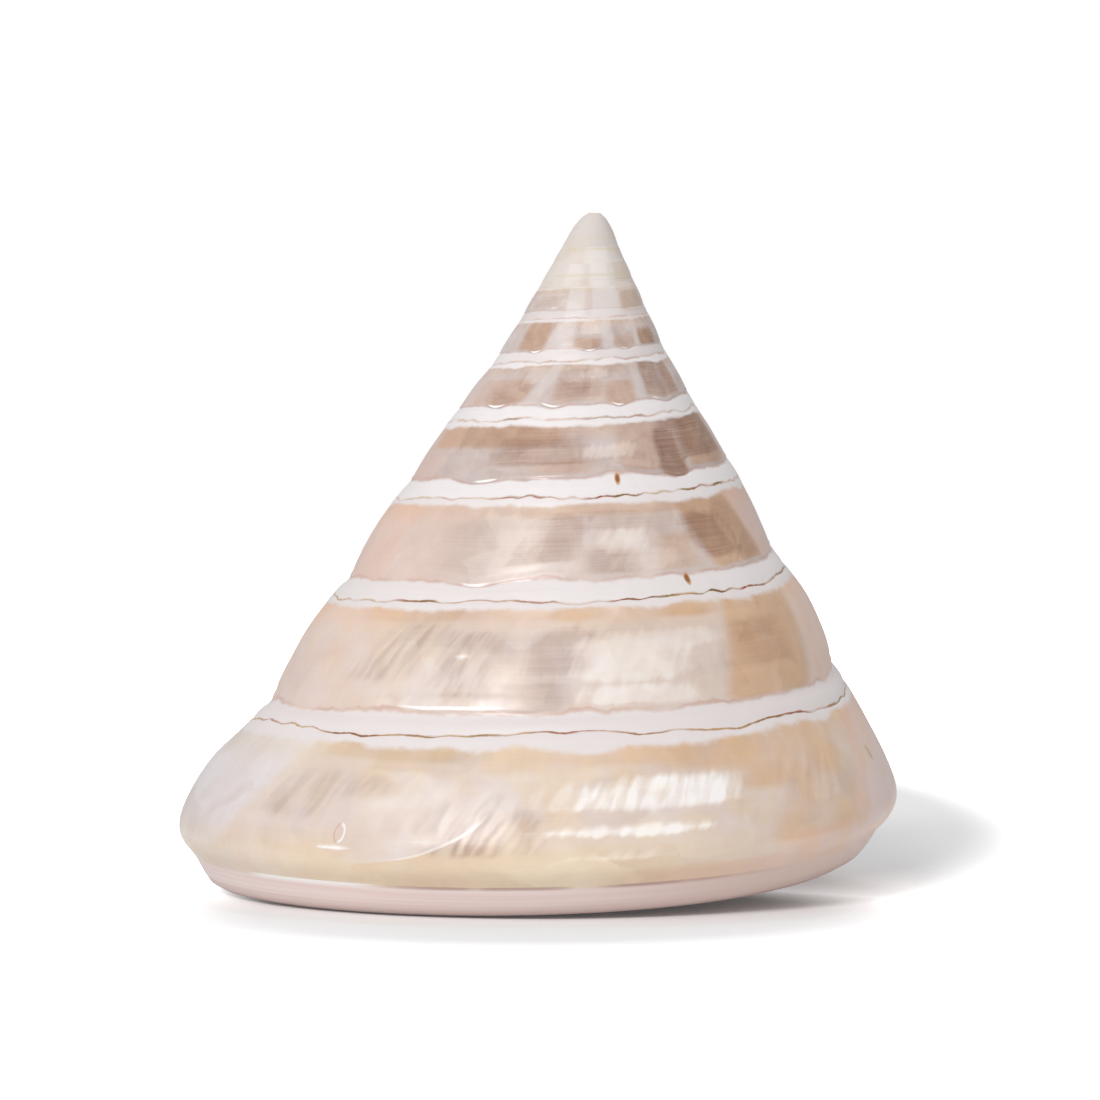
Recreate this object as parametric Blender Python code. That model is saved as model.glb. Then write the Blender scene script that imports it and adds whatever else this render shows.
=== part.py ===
"""Top shell: one polished, pearly sea shell with its spire, base, false umbilicus and open mouth.

The shell is a coiled cone.  Every whorl follows one growth law: the seam between two whorls winds
down the axis, its depth below the tip growing by a steady factor each turn.  The outside is built
from that law, then the whorl's tube is cut out of it, and the bottom is cut level where it rests.

Built in the shell's own frame, with the tip at the origin and the axis pointing up, and then leaned
over as the shell rests.  "turn" counts whole turns of growth: 0 faces +X, a quarter faces -Y.
"depth" is the distance below the tip along the axis.
"""
import math

import bmesh
import bpy
from mathutils import Vector

MM = 0.001

# Growth law of the seam
SEAM_DEPTH = 56.6 * MM          # depth of the last seam where it faces +X
GROWTH = 0.2807                 # natural logarithm of the growth in one turn
GROWTH_SLOWING = 0.0070         # how much that falls with each turn
FIRST_TURN = -9.0               # where the tip begins
LIP_TURN = 0.81                 # where the outer lip ends, at the back

# Outline of the spire: seam radius against depth
TIP_RADIUS = 1.4 * MM
SPIRE_SLOPE = 0.503
SKIRT_SLOPE = 0.080             # extra slope of the lower whorls
SKIRT_FROM = 14.6 * MM
SKIRT_TO = 31.6 * MM

# Whorl outlines from seam to lower edge: (share of the way down, share out from the straight line)
SPIRE_OUTLINE = ((0.0, 0.0), (0.12, 0.014), (0.30, 0.027), (0.50, 0.016), (0.70, -0.012),
                 (0.86, -0.042), (1.0, 0.0))
UPPER_FLATTENING = 0.80         # how much of that outline the polishing took off the upper whorls
FLAT_FROM = -0.6
FLAT_TO = -3.2
FULLNESS = ((-3.0, 0.0), (-2.0, -0.024), (-1.5, -0.020), (-1.25, -0.005), (-0.97, 0.034),
            (-0.72, 0.005), (-0.45, -0.012), (-0.2, 0.0))   # (turn, how much fuller it left the whorl)
BODY_OUTLINE = ((0.0, 0.0), (0.13, 0.020), (0.30, 0.044), (0.50, 0.044), (0.68, 0.015),
                (0.760, -0.045), (0.800, -0.152))
BODY_FULLING = 0.10             # how the last whorl's belly fills out with each turn
BODY_BLEND = 0.14               # turns over which the spire outline becomes the body outline
LIP_STEEPENING = 0.35           # how much less the last stretch spreads out, up to the lip
LIP_STEEP_FROM = 0.5

# Base of the last whorl, from its edge to the axis: (share of the edge radius, drop in edge radii)
BASE_OUTLINE = ((0.955, 0.070), (0.88, 0.083), (0.74, 0.104), (0.55, 0.086), (0.38, 0.045),
                (0.24, 0.005), (0.15, -0.050), (0.07, -0.120))
BASE_CENTRE_DEPTH = 79.0 * MM   # the depth that the base winds in to
BASE_WIND = 0.55                # how late the winding of the base levels out towards the axis
UMBILICUS_DEPTH = 71.0 * MM     # bottom of the false umbilicus

# Walls and the tube inside
WALL = 3.2 * MM
SEPTUM = 1.5 * MM               # wall between one whorl's tube and the next
TUBE_TURNS = 2.4               # how far in the tube is cut
PILLAR_SHARE = 0.27             # radius of the middle pillar against the whorl's
MOUTH_TURNS = 0.25              # how far back from the lip the tube is open below
MOUTH_WIDENING = 0.10           # turns over which the tube breaks through the base
MOUTH_DROP = 14.0 * MM          # how far below the base the tube is cut there
MOUTH_OVERRUN = 0.03            # turns by which the tube runs out past the lip

# How it rests
LEAN_RIGHT = math.radians(2.94)
LEAN_FORWARD = math.radians(4.2)
REST_DEPTH = 84.2 * MM          # height of the tip's point above the surface
GROUND_SIZE = 300.0 * MM        # side of the block that levels the bottom

# Faceting
COLUMNS_PER_TURN = 42
CREASE = math.radians(35.0)
TIP_RINGS = ((0.45, 0.17), (0.76, 0.55))   # (share of the radius, share of the drop)
TIP_RISE = 2.5 * MM             # the rounded tip's height above the first seam's start


def smoothstep(low, high, value):
    """Return 0 below low, 1 above high and a smooth rise between."""
    share = min(max((value - low) / (high - low), 0.0), 1.0)
    return share * share * (3.0 - 2.0 * share)


def seam(turn):
    """Return the radius and depth of the seam at a turn."""
    depth = SEAM_DEPTH * math.exp(GROWTH * turn - GROWTH_SLOWING * turn * turn)
    slope = SPIRE_SLOPE + SKIRT_SLOPE * smoothstep(SKIRT_FROM, SKIRT_TO, depth)
    return Vector((TIP_RADIUS + slope * depth, depth))


def fullness(turn):
    """Return how much fuller the polishing left the whorl at a turn."""
    for (before, low), (after, high) in zip(FULLNESS, FULLNESS[1:]):
        if before <= turn <= after:
            return low + (high - low) * smoothstep(before, after, turn)
    return 0.0


def whorl_point(turn, row):
    """Return the radius and depth of one outline row of the whorl whose upper seam is at turn."""
    upper = seam(turn)
    chord = seam(turn + 1.0) - upper
    outward = Vector((chord.y, -chord.x))
    along, out = SPIRE_OUTLINE[row]
    out *= 1.0 - UPPER_FLATTENING * (1.0 - smoothstep(FLAT_TO, FLAT_FROM, turn))
    out += fullness(turn) * math.sin(math.pi * along)
    spire = upper + chord * along + outward * out
    chord.x *= 1.0 - LIP_STEEPENING * smoothstep(LIP_STEEP_FROM, LIP_TURN, turn)
    outward = Vector((chord.y, -chord.x))
    body_along, body_out = BODY_OUTLINE[row]
    belly = BODY_FULLING * (turn - 0.25) * math.sin(math.pi * body_along)
    body = upper + chord * body_along + outward * (body_out + belly * smoothstep(0.0, 0.3, body_along))
    return spire.lerp(body, smoothstep(LIP_TURN - 1.0, LIP_TURN - 1.0 + BODY_BLEND, turn))


def whorl_edge(turn):
    """Return the radius and depth of a whorl's lower edge."""
    return whorl_point(turn, len(SPIRE_OUTLINE) - 1)


def base_drop(share):
    """Return how far the base lies below its edge at a share of the edge radius, in edge radii."""
    stations = ((1.0, 0.0),) + BASE_OUTLINE
    for (outer, outer_drop), (inner, inner_drop) in zip(stations, stations[1:]):
        if share >= inner:
            return inner_drop + (outer_drop - inner_drop) * (share - inner) / (outer - inner)
    return stations[-1][1]


def base_depth(turn, radius):
    """Return the depth of a whorl's base surface at a radius."""
    edge = whorl_edge(turn)
    share = min(radius / edge.x, 1.0)
    lip_start = seam(LIP_TURN)
    centre = BASE_CENTRE_DEPTH * min(edge.y / lip_start.y, 1.0)
    return centre + (edge.y - centre) * share ** BASE_WIND + base_drop(share) * edge.x


def place(point, turn):
    """Return the 3-D place of a (radius, depth) point at a turn."""
    angle = -2.0 * math.pi * turn
    return Vector((point.x * math.cos(angle), point.x * math.sin(angle), -point.y))


def add_object(name, mesh_builder):
    """Make a mesh object from a bmesh and link it to the scene."""
    mesh = bpy.data.meshes.new(name)
    mesh_builder.normal_update()
    mesh_builder.to_mesh(mesh)
    mesh_builder.free()
    item = bpy.data.objects.new(name, mesh)
    bpy.context.collection.objects.link(item)
    return item


def close_up(solid):
    """Split the many-sided faces of a closed body and turn all its faces outwards."""
    solid.normal_update()
    bmesh.ops.triangulate(solid, faces=[face for face in solid.faces if len(face.verts) > 4])
    bmesh.ops.recalc_face_normals(solid, faces=solid.faces)


def build_outside():
    """Build the filled outside: spire, last whorl, base and the step at the lip, as one closed body."""
    solid = bmesh.new()
    columns = round((LIP_TURN - FIRST_TURN) * COLUMNS_PER_TURN)
    step = (LIP_TURN - FIRST_TURN) / columns
    last_row = len(SPIRE_OUTLINE) - 1
    turns = [FIRST_TURN + step * column for column in range(columns + 1)]

    # The columns of one turn share their lower edge with the upper seam of the next turn.
    per_turn = round(1.0 / step)
    grid = []
    for turn in turns:
        grid.append([solid.verts.new(place(whorl_point(turn, row), turn)) for row in range(last_row)])
    for column, turn in enumerate(turns):
        below = column + per_turn
        if below <= columns:
            grid[column].append(grid[below][0])
        else:
            grid[column].append(solid.verts.new(place(whorl_edge(turn), turn)))
    for left, right in zip(grid, grid[1:]):
        for row in range(last_row):
            solid.faces.new((left[row], left[row + 1], right[row + 1], right[row]))

    # Base rows run from the last turn's lower edge in to the axis.
    start = columns - per_turn
    base = []
    for column in range(start, columns + 1):
        turn = turns[column]
        rows = [grid[column][last_row]]
        for share, _ in BASE_OUTLINE:
            radius = whorl_edge(turn).x * share
            point = Vector((radius, base_depth(turn, radius)))
            rows.append(solid.verts.new(place(point, turn)))
        base.append(rows)
    hub = solid.verts.new((0.0, 0.0, -UMBILICUS_DEPTH))
    for left, right in zip(base, base[1:]):
        for upper in range(len(BASE_OUTLINE)):
            solid.faces.new((left[upper], left[upper + 1], right[upper + 1], right[upper]))
        solid.faces.new((left[-1], hub, right[-1]))

    # The step at the lip joins the new edge of the shell to the base of the turn before.
    lip = grid[columns][:last_row] + base[-1]
    solid.faces.new(lip + [hub] + base[0][:0:-1])

    # The tip is a small rounded cap over the first turn.
    rim = [grid[column][0] for column in range(per_turn + 1)] + grid[0][last_row - 1:0:-1]
    centre = sum((vertex.co for vertex in rim), Vector()) / len(rim)
    top = solid.verts.new((centre.x, centre.y, TIP_RISE - seam(FIRST_TURN).y))
    rings = [rim]
    for share, drop in reversed(TIP_RINGS):
        ring = []
        for vertex in rim:
            spot = top.co.lerp(vertex.co, share)
            spot.z = top.co.z + (vertex.co.z - top.co.z) * drop
            ring.append(solid.verts.new(spot))
        rings.append(ring)
    for index in range(len(rim)):
        after = (index + 1) % len(rim)
        for outer, inner in zip(rings, rings[1:]):
            solid.faces.new((outer[index], outer[after], inner[after], inner[index]))
        solid.faces.new((rings[-1][index], rings[-1][after], top))

    close_up(solid)
    shell = add_object("shell", solid)
    shell.data.shade_smooth()
    shell.data.set_sharp_from_angle(angle=CREASE)
    return shell


def tube_ring(turn):
    """Return the tube's outline at a turn as (radius, depth) points, from the top of the wall round."""
    upper = seam(turn)
    size = min(upper.y / SEAM_DEPTH, 1.0)
    thickness = WALL * size
    septum = SEPTUM * size
    chord = (seam(turn + 1.0) - upper).normalized()
    inward = Vector((-chord.y, chord.x)) * thickness
    mouth_start = LIP_TURN - MOUTH_TURNS
    drop = MOUTH_DROP * smoothstep(mouth_start, mouth_start + MOUTH_WIDENING, turn)
    wall = [whorl_point(turn, row) + inward for row in (1, 2, 3, 4)]
    wall[0] += chord * thickness * 0.5
    pillar = upper.x * PILLAR_SHARE
    reach = wall[3].x - pillar
    floor = []
    for share in (0.86, 0.5, 0.12):
        radius = pillar + reach * share
        floor.append(Vector((radius, base_depth(turn, radius) - thickness + drop)))
    roof = []
    for share in (0.10, 0.45, 0.75):
        radius = pillar + reach * share
        roof.append(Vector((radius, base_depth(turn - 1.0, radius) + septum)))
    middle = (floor[-1].y - drop + roof[0].y) / 2.0
    wall.append(wall[3] + Vector((-thickness * 0.3, thickness * 0.5 + drop)))
    return wall + floor + [Vector((pillar, middle + drop * 0.7)), Vector((pillar, middle))] + roof


def build_tube():
    """Build the cutter for the hollow that winds in from the mouth."""
    solid = bmesh.new()
    columns = round((TUBE_TURNS + MOUTH_OVERRUN) * COLUMNS_PER_TURN)
    first = LIP_TURN - TUBE_TURNS
    rings = []
    for column in range(columns + 1):
        turn = first + (TUBE_TURNS + MOUTH_OVERRUN) * column / columns
        rings.append([solid.verts.new(place(point, turn)) for point in tube_ring(turn)])
    count = len(rings[0])
    for left, right in zip(rings, rings[1:]):
        for side in range(count):
            following = (side + 1) % count
            solid.faces.new((left[side], left[following], right[following], right[side]))
    solid.faces.new(rings[0])
    solid.faces.new(rings[-1])
    close_up(solid)
    return add_object("tube_cutter", solid)


def build_ground():
    """Build the cutter that levels the bottom where the shell rests."""
    solid = bmesh.new()
    bmesh.ops.create_cube(solid, size=GROUND_SIZE)
    ground = add_object("ground_cutter", solid)
    ground.location = (0.0, 0.0, -GROUND_SIZE / 2.0)
    return ground


def cut(item, cutter):
    """Subtract a cutter from an object, and keep the cutter out of the model."""
    difference = item.modifiers.new(cutter.name, "BOOLEAN")
    difference.operation = "DIFFERENCE"
    difference.solver = "EXACT"
    difference.object = cutter
    cutter.hide_render = True
    cutter.display_type = "WIRE"


def nacre():
    """Return the polished mother-of-pearl material."""
    material = bpy.data.materials.new("nacre")
    material.use_nodes = True
    surface = material.node_tree.nodes["Principled BSDF"]
    surface.inputs["Base Color"].default_value = (0.76, 0.66, 0.58, 1.0)
    surface.inputs["Roughness"].default_value = 0.2
    surface.inputs["Metallic"].default_value = 0.0
    return material


def centre_on_surface(shell, axis):
    """Move the leaned shell so that its box stands over the origin."""
    bpy.context.view_layer.update()
    shown = shell.evaluated_get(bpy.context.evaluated_depsgraph_get())
    corners = [shown.matrix_world @ vertex.co for vertex in shown.data.vertices]
    for side in (0, 1):
        values = [corner[side] for corner in corners]
        axis.location[side] -= (min(values) + max(values)) / 2.0


def main():
    """Build the shell and set it on the surface."""
    for item in list(bpy.data.objects):
        bpy.data.objects.remove(item)

    shell = build_outside()
    tube = build_tube()
    ground = build_ground()
    shell.data.materials.append(nacre())

    axis = bpy.data.objects.new("shell_axis", None)
    bpy.context.collection.objects.link(axis)
    axis.rotation_mode = "YXZ"
    axis.rotation_euler = (LEAN_FORWARD, LEAN_RIGHT, 0.0)
    axis.location = (0.0, 0.0, REST_DEPTH)
    shell.parent = axis
    tube.parent = axis

    cut(shell, tube)
    cut(shell, ground)
    centre_on_surface(shell, axis)


main()
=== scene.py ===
"""Top shell polished to mother-of-pearl: its fine surface, its finishes, and a plain studio.

The shell is a coiled cone.  A place on it is given by its turn and its row.  Turn counts the turns of
growth (0 faces +X, a quarter faces -Y, and the last one ends at the lip).  Row runs down one whorl,
from 0 at the seam above to 1 at the seam below, and on over the base from 1 to 2.  The same growth
law as the solid's gives each place its radius and its depth below the tip.
"""
import logging
import math
from dataclasses import dataclass, field
from enum import Enum
from functools import partialmethod
from typing import Callable, Iterable, Sequence

import bmesh
import bpy
import numpy as np
from mathutils import Euler, Matrix, Vector


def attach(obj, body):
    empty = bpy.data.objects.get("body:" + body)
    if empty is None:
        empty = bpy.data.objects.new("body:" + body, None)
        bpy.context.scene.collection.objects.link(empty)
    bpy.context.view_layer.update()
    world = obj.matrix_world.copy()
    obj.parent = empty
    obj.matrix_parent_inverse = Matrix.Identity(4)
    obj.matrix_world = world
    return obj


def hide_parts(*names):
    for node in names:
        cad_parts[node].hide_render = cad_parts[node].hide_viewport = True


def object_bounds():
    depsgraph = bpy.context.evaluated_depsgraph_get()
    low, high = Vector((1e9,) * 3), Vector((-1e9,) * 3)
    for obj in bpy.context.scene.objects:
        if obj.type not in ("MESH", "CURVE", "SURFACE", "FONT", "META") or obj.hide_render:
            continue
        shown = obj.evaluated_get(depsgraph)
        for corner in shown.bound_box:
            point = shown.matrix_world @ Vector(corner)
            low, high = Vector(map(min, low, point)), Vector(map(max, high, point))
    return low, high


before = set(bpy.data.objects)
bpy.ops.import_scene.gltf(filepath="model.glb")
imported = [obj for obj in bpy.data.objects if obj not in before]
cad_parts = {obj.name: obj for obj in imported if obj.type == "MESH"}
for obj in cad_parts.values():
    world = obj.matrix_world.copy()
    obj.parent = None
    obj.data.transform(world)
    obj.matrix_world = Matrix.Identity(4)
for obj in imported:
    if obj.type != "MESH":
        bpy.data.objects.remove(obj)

MM = 0.001
CAD_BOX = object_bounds()
MERGE = 1.5e-6                  # vertices closer than this are one
LINE_KNOTS = 4096               # knots before a wander along a line comes round again
SURFACE_KNOTS = 512             # and before one over a surface does, each way
GROWTH_MAP = "Growth"            # the map that holds each corner's turn and row
LOG = logging.getLogger("top_shell")

Stations = Sequence[tuple[float, float]]


# --- Curves and waves ------------------------------------------------------

def part_way(low: float, high: float, value: np.ndarray | float) -> np.ndarray:
    """Give how far each value is on the way from low to high, from 0 to 1."""
    return np.clip((np.asarray(value, float) - low) / (high - low), 0.0, 1.0)


def ease(share: np.ndarray) -> np.ndarray:
    """Ease shares between 0 and 1 in and out."""
    return share * share * (3.0 - 2.0 * share)


def smoothstep(low: float, high: float, value: np.ndarray | float) -> np.ndarray:
    """Rise smoothly from 0 at low to 1 at high."""
    return ease(part_way(low, high, value))


def bump(low: float, high: float, value: np.ndarray) -> np.ndarray:
    """Swell from 0 at low to 1 halfway and back to 0 at high."""
    return np.sin(np.pi * part_way(low, high, value)) ** 2


def through(stations: Stations, where: np.ndarray) -> np.ndarray:
    """Read a smooth curve that passes through some stations.

    Args:
        stations: (place, value) pairs in rising order of place.
        where: The places to read.

    Returns:
        The curve's value at each place.
    """
    places, values = np.array(stations, float).T
    slopes = np.gradient(values, places)
    where = np.asarray(where, float)
    first = np.clip(np.searchsorted(places, where, side="right") - 1, 0, len(places) - 2)
    width = places[first + 1] - places[first]
    share = np.clip((where - places[first]) / width, 0.0, 1.0)
    square, cube = share ** 2, share ** 3
    return ((2 * cube - 3 * square + 1) * values[first] + (3 * square - 2 * cube) * values[first + 1]
            + (cube - 2 * square + share) * width * slopes[first]
            + (cube - square) * width * slopes[first + 1])


def waver(place: np.ndarray, seed: int) -> np.ndarray:
    """Wander smoothly and irregularly between -1 and 1, with one knot at each whole place.

    Args:
        place: Where to read it.
        seed: Which wander it is.

    Returns:
        The height at each place.
    """
    knots = np.random.RandomState(seed).uniform(-1.0, 1.0, LINE_KNOTS)
    place = np.asarray(place, float)
    low = np.floor(place).astype(int)
    share = ease(place - low)
    return knots[low % LINE_KNOTS] * (1.0 - share) + knots[(low + 1) % LINE_KNOTS] * share


def ripple(across: np.ndarray, down: np.ndarray, seed: int) -> np.ndarray:
    """Wander smoothly and irregularly over a surface, between -1 and 1.

    Args:
        across: First place, with one knot at each whole number.
        down: Second place, likewise.
        seed: Which wander it is.

    Returns:
        The height at each pair of places.
    """
    knots = np.random.RandomState(seed).uniform(-1.0, 1.0, (SURFACE_KNOTS, SURFACE_KNOTS))
    across, down = np.broadcast_arrays(np.asarray(across, float), np.asarray(down, float))
    column, row = np.floor(across).astype(int), np.floor(down).astype(int)
    one, two = ease(across - column), ease(down - row)
    left, right = column % SURFACE_KNOTS, (column + 1) % SURFACE_KNOTS
    upper, lower = [knots[left, level] * (1.0 - one) + knots[right, level] * one
                    for level in (row % SURFACE_KNOTS, (row + 1) % SURFACE_KNOTS)]
    return upper * (1.0 - two) + lower * two


# --- How the shell grew ----------------------------------------------------

@dataclass(frozen=True)
class Growth:
    """The growth law that the solid follows: where the seam, the whorls and the base lie."""

    seam_depth: float = 56.6 * MM
    growth: float = 0.2807
    slowing: float = 0.0070
    first_turn: float = -9.0
    lip_turn: float = 0.81
    tip_radius: float = 1.4 * MM
    spire_slope: float = 0.503
    skirt_slope: float = 0.080
    skirt_from: float = 14.6 * MM
    skirt_to: float = 31.6 * MM
    lip_steepening: float = 0.35
    lip_steep_from: float = 0.5
    front_turn: float = 0.25        # where the last whorl faces the front
    body_fulling: float = 0.10
    body_full_by: float = 0.3
    body_blend: float = 0.14
    base_centre_depth: float = 79.0 * MM
    base_wind: float = 0.55
    umbilicus_depth: float = 71.0 * MM
    upper_flattening: float = 0.80
    flat_from: float = -0.6
    flat_to: float = -3.2
    # How far out from the straight line between the seams the surface stands, row by row
    spire_out: Stations = ((0.0, 0.0), (0.12, 0.014), (0.30, 0.027), (0.50, 0.018), (0.68, -0.006),
                           (0.785, -0.034), (0.84, -0.035), (0.92, -0.014), (1.0, 0.0))
    # How much fuller than that the grinding left a whorl, turn by turn
    fullness: Stations = ((-9.0, 0.0), (-3.0, 0.0), (-2.0, -0.024), (-1.5, -0.020), (-1.25, -0.005),
                          (-0.97, 0.034), (-0.72, 0.005), (-0.45, -0.012), (-0.2, 0.0), (0.9, 0.0))
    # The last whorl instead: its rows' share of the way down, and how far out they stand
    body_along: Stations = ((0.0, 0.0), (0.12, 0.13), (0.30, 0.30), (0.50, 0.50), (0.70, 0.68),
                            (0.86, 0.760), (1.0, 0.800))
    body_out: Stations = ((0.0, 0.0), (0.12, 0.020), (0.30, 0.044), (0.50, 0.044), (0.70, 0.015),
                          (0.86, -0.045), (1.0, -0.152))
    # The base: share of the edge radius, and how far it drops below the edge, in edge radii
    base_drop: Stations = ((0.07, -0.120), (0.15, -0.050), (0.24, 0.005), (0.38, 0.045),
                           (0.55, 0.086), (0.74, 0.104), (0.88, 0.083), (0.955, 0.070), (1.0, 0.0))

    def seam(self, turn: np.ndarray) -> np.ndarray:
        """Give the seam's radius and depth at some turns, as the last axis of an array.

        Args:
            turn: Turns of growth.

        Returns:
            The radii and depths.
        """
        turn = np.asarray(turn, float)
        depth = self.seam_depth * np.exp(self.growth * turn - self.slowing * turn ** 2)
        slope = self.spire_slope + self.skirt_slope * smoothstep(self.skirt_from, self.skirt_to, depth)
        return np.stack((self.tip_radius + slope * depth, depth), axis=-1)

    def slant(self, turn: np.ndarray) -> np.ndarray:
        """Give the straight distance from one seam to the next below it."""
        return np.linalg.norm(self.seam(np.asarray(turn) + 1.0) - self.seam(turn), axis=-1)

    def whorl(self, turn: np.ndarray, row: np.ndarray, rise: np.ndarray = 0.0) -> np.ndarray:
        """Give the radius and depth of places on a whorl.

        Args:
            turn: Turn of each place.
            row: Row of each place, 0 to 1.
            rise: How far each place stands out of the plain outline, in slants.

        Returns:
            Radius and depth as the last axis.
        """
        turn, row, rise = np.broadcast_arrays(np.asarray(turn, float), np.asarray(row, float), rise)
        upper = self.seam(turn)
        chord = self.seam(turn + 1.0) - upper
        fuller = through(self.fullness, turn) * np.sin(np.pi * row)
        standing = through(self.spire_out, row) * self.flatness(turn) + fuller + rise
        spire = upper + chord * row[..., None] + self.outward(chord) * standing[..., None]
        chord = chord.copy()
        chord[..., 0] *= 1.0 - self.lip_steepening * smoothstep(self.lip_steep_from, self.lip_turn, turn)
        along = through(self.body_along, row)
        belly = self.body_fulling * (turn - self.front_turn) * np.sin(np.pi * along)
        out = through(self.body_out, row) + belly * smoothstep(0.0, self.body_full_by, along) + rise
        body = upper + chord * along[..., None] + self.outward(chord) * out[..., None]
        return spire + (body - spire) * self.body_share(turn)[..., None]

    @staticmethod
    def outward(chord: np.ndarray) -> np.ndarray:
        """Turn runs of radius and depth into their outward normals, as long as they are."""
        return np.stack((chord[..., 1], -chord[..., 0]), axis=-1)

    def flatness(self, turn: np.ndarray) -> np.ndarray:
        """Give how much of the whorls' outline the polishing has left, from 0 to 1."""
        return 1.0 - self.upper_flattening * smoothstep(self.flat_from, self.flat_to, turn)

    def body_share(self, turn: np.ndarray) -> np.ndarray:
        """Give how far a turn's outline is the last whorl's, from 0 to 1."""
        start = self.lip_turn - 1.0
        return smoothstep(start, start + self.body_blend, turn)

    def base_depth(self, turn: np.ndarray, radius: np.ndarray) -> np.ndarray:
        """Give the depth of the base's surface.

        Args:
            turn: Turn of each place.
            radius: Its distance from the axis.

        Returns:
            The depth below the tip.
        """
        edge = self.whorl(turn, 1.0)
        share = np.clip(radius / edge[..., 0], 0.0, 1.0)
        lip_depth = float(self.seam(self.lip_turn)[1])
        centre = self.base_centre_depth * np.minimum(edge[..., 1] / lip_depth, 1.0)
        wound = centre + (edge[..., 1] - centre) * share ** self.base_wind
        return wound + through(self.base_drop, share) * edge[..., 0]

    def place(self, point: np.ndarray, turn: np.ndarray) -> np.ndarray:
        """Turn radii and depths into places in the shell's own frame, with the tip at the origin.

        Args:
            point: Radius and depth, as the last axis.
            turn: Turn of each point.

        Returns:
            X, Y and Z as the last axis.
        """
        angle = -2.0 * np.pi * np.asarray(turn, float)
        angle = np.broadcast_to(angle, point.shape[:-1])
        return np.stack((point[..., 0] * np.cos(angle), point[..., 0] * np.sin(angle), -point[..., 1]),
                        axis=-1)


@dataclass(frozen=True)
class Rest:
    """How the shell stands: its axis leans a little, and the tip's point is this far up."""

    lean_right: float = math.radians(2.94)
    lean_forward: float = math.radians(4.2)
    tip_from_middle: tuple[float, float] = (7.04 * MM, -7.86 * MM)
    tip_height: float = 84.2 * MM

    def matrix(self) -> Matrix:
        """Give the move from the shell's own frame to where it rests."""
        low, high = CAD_BOX
        middle = ((low[0] + high[0]) / 2.0, (low[1] + high[1]) / 2.0)
        spot = Vector((middle[0] + self.tip_from_middle[0], middle[1] + self.tip_from_middle[1],
                       self.tip_height))
        lean = Matrix.Rotation(self.lean_forward, 4, "X") @ Matrix.Rotation(self.lean_right, 4, "Y")
        return Matrix.Translation(spot) @ lean


@dataclass(frozen=True)
class Course:
    """How a line along a whorl wanders: in long waves, with short ones on them."""

    knots: float                    # of the long waves, in one turn
    fine: float                     # share of the short waves
    seed: int
    size: float
    finer: float = 4.3              # how much closer the short waves' knots lie
    turns_up: float = 20.0          # keeps the knots' numbers positive

    def at(self, turn: np.ndarray) -> np.ndarray:
        """Give the wander, about -1 to 1 times its size."""
        knot = (np.asarray(turn, float) + self.turns_up) * self.knots
        return (waver(knot, self.seed) + self.fine * waver(knot * self.finer, self.seed + 1)) * self.size


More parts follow.
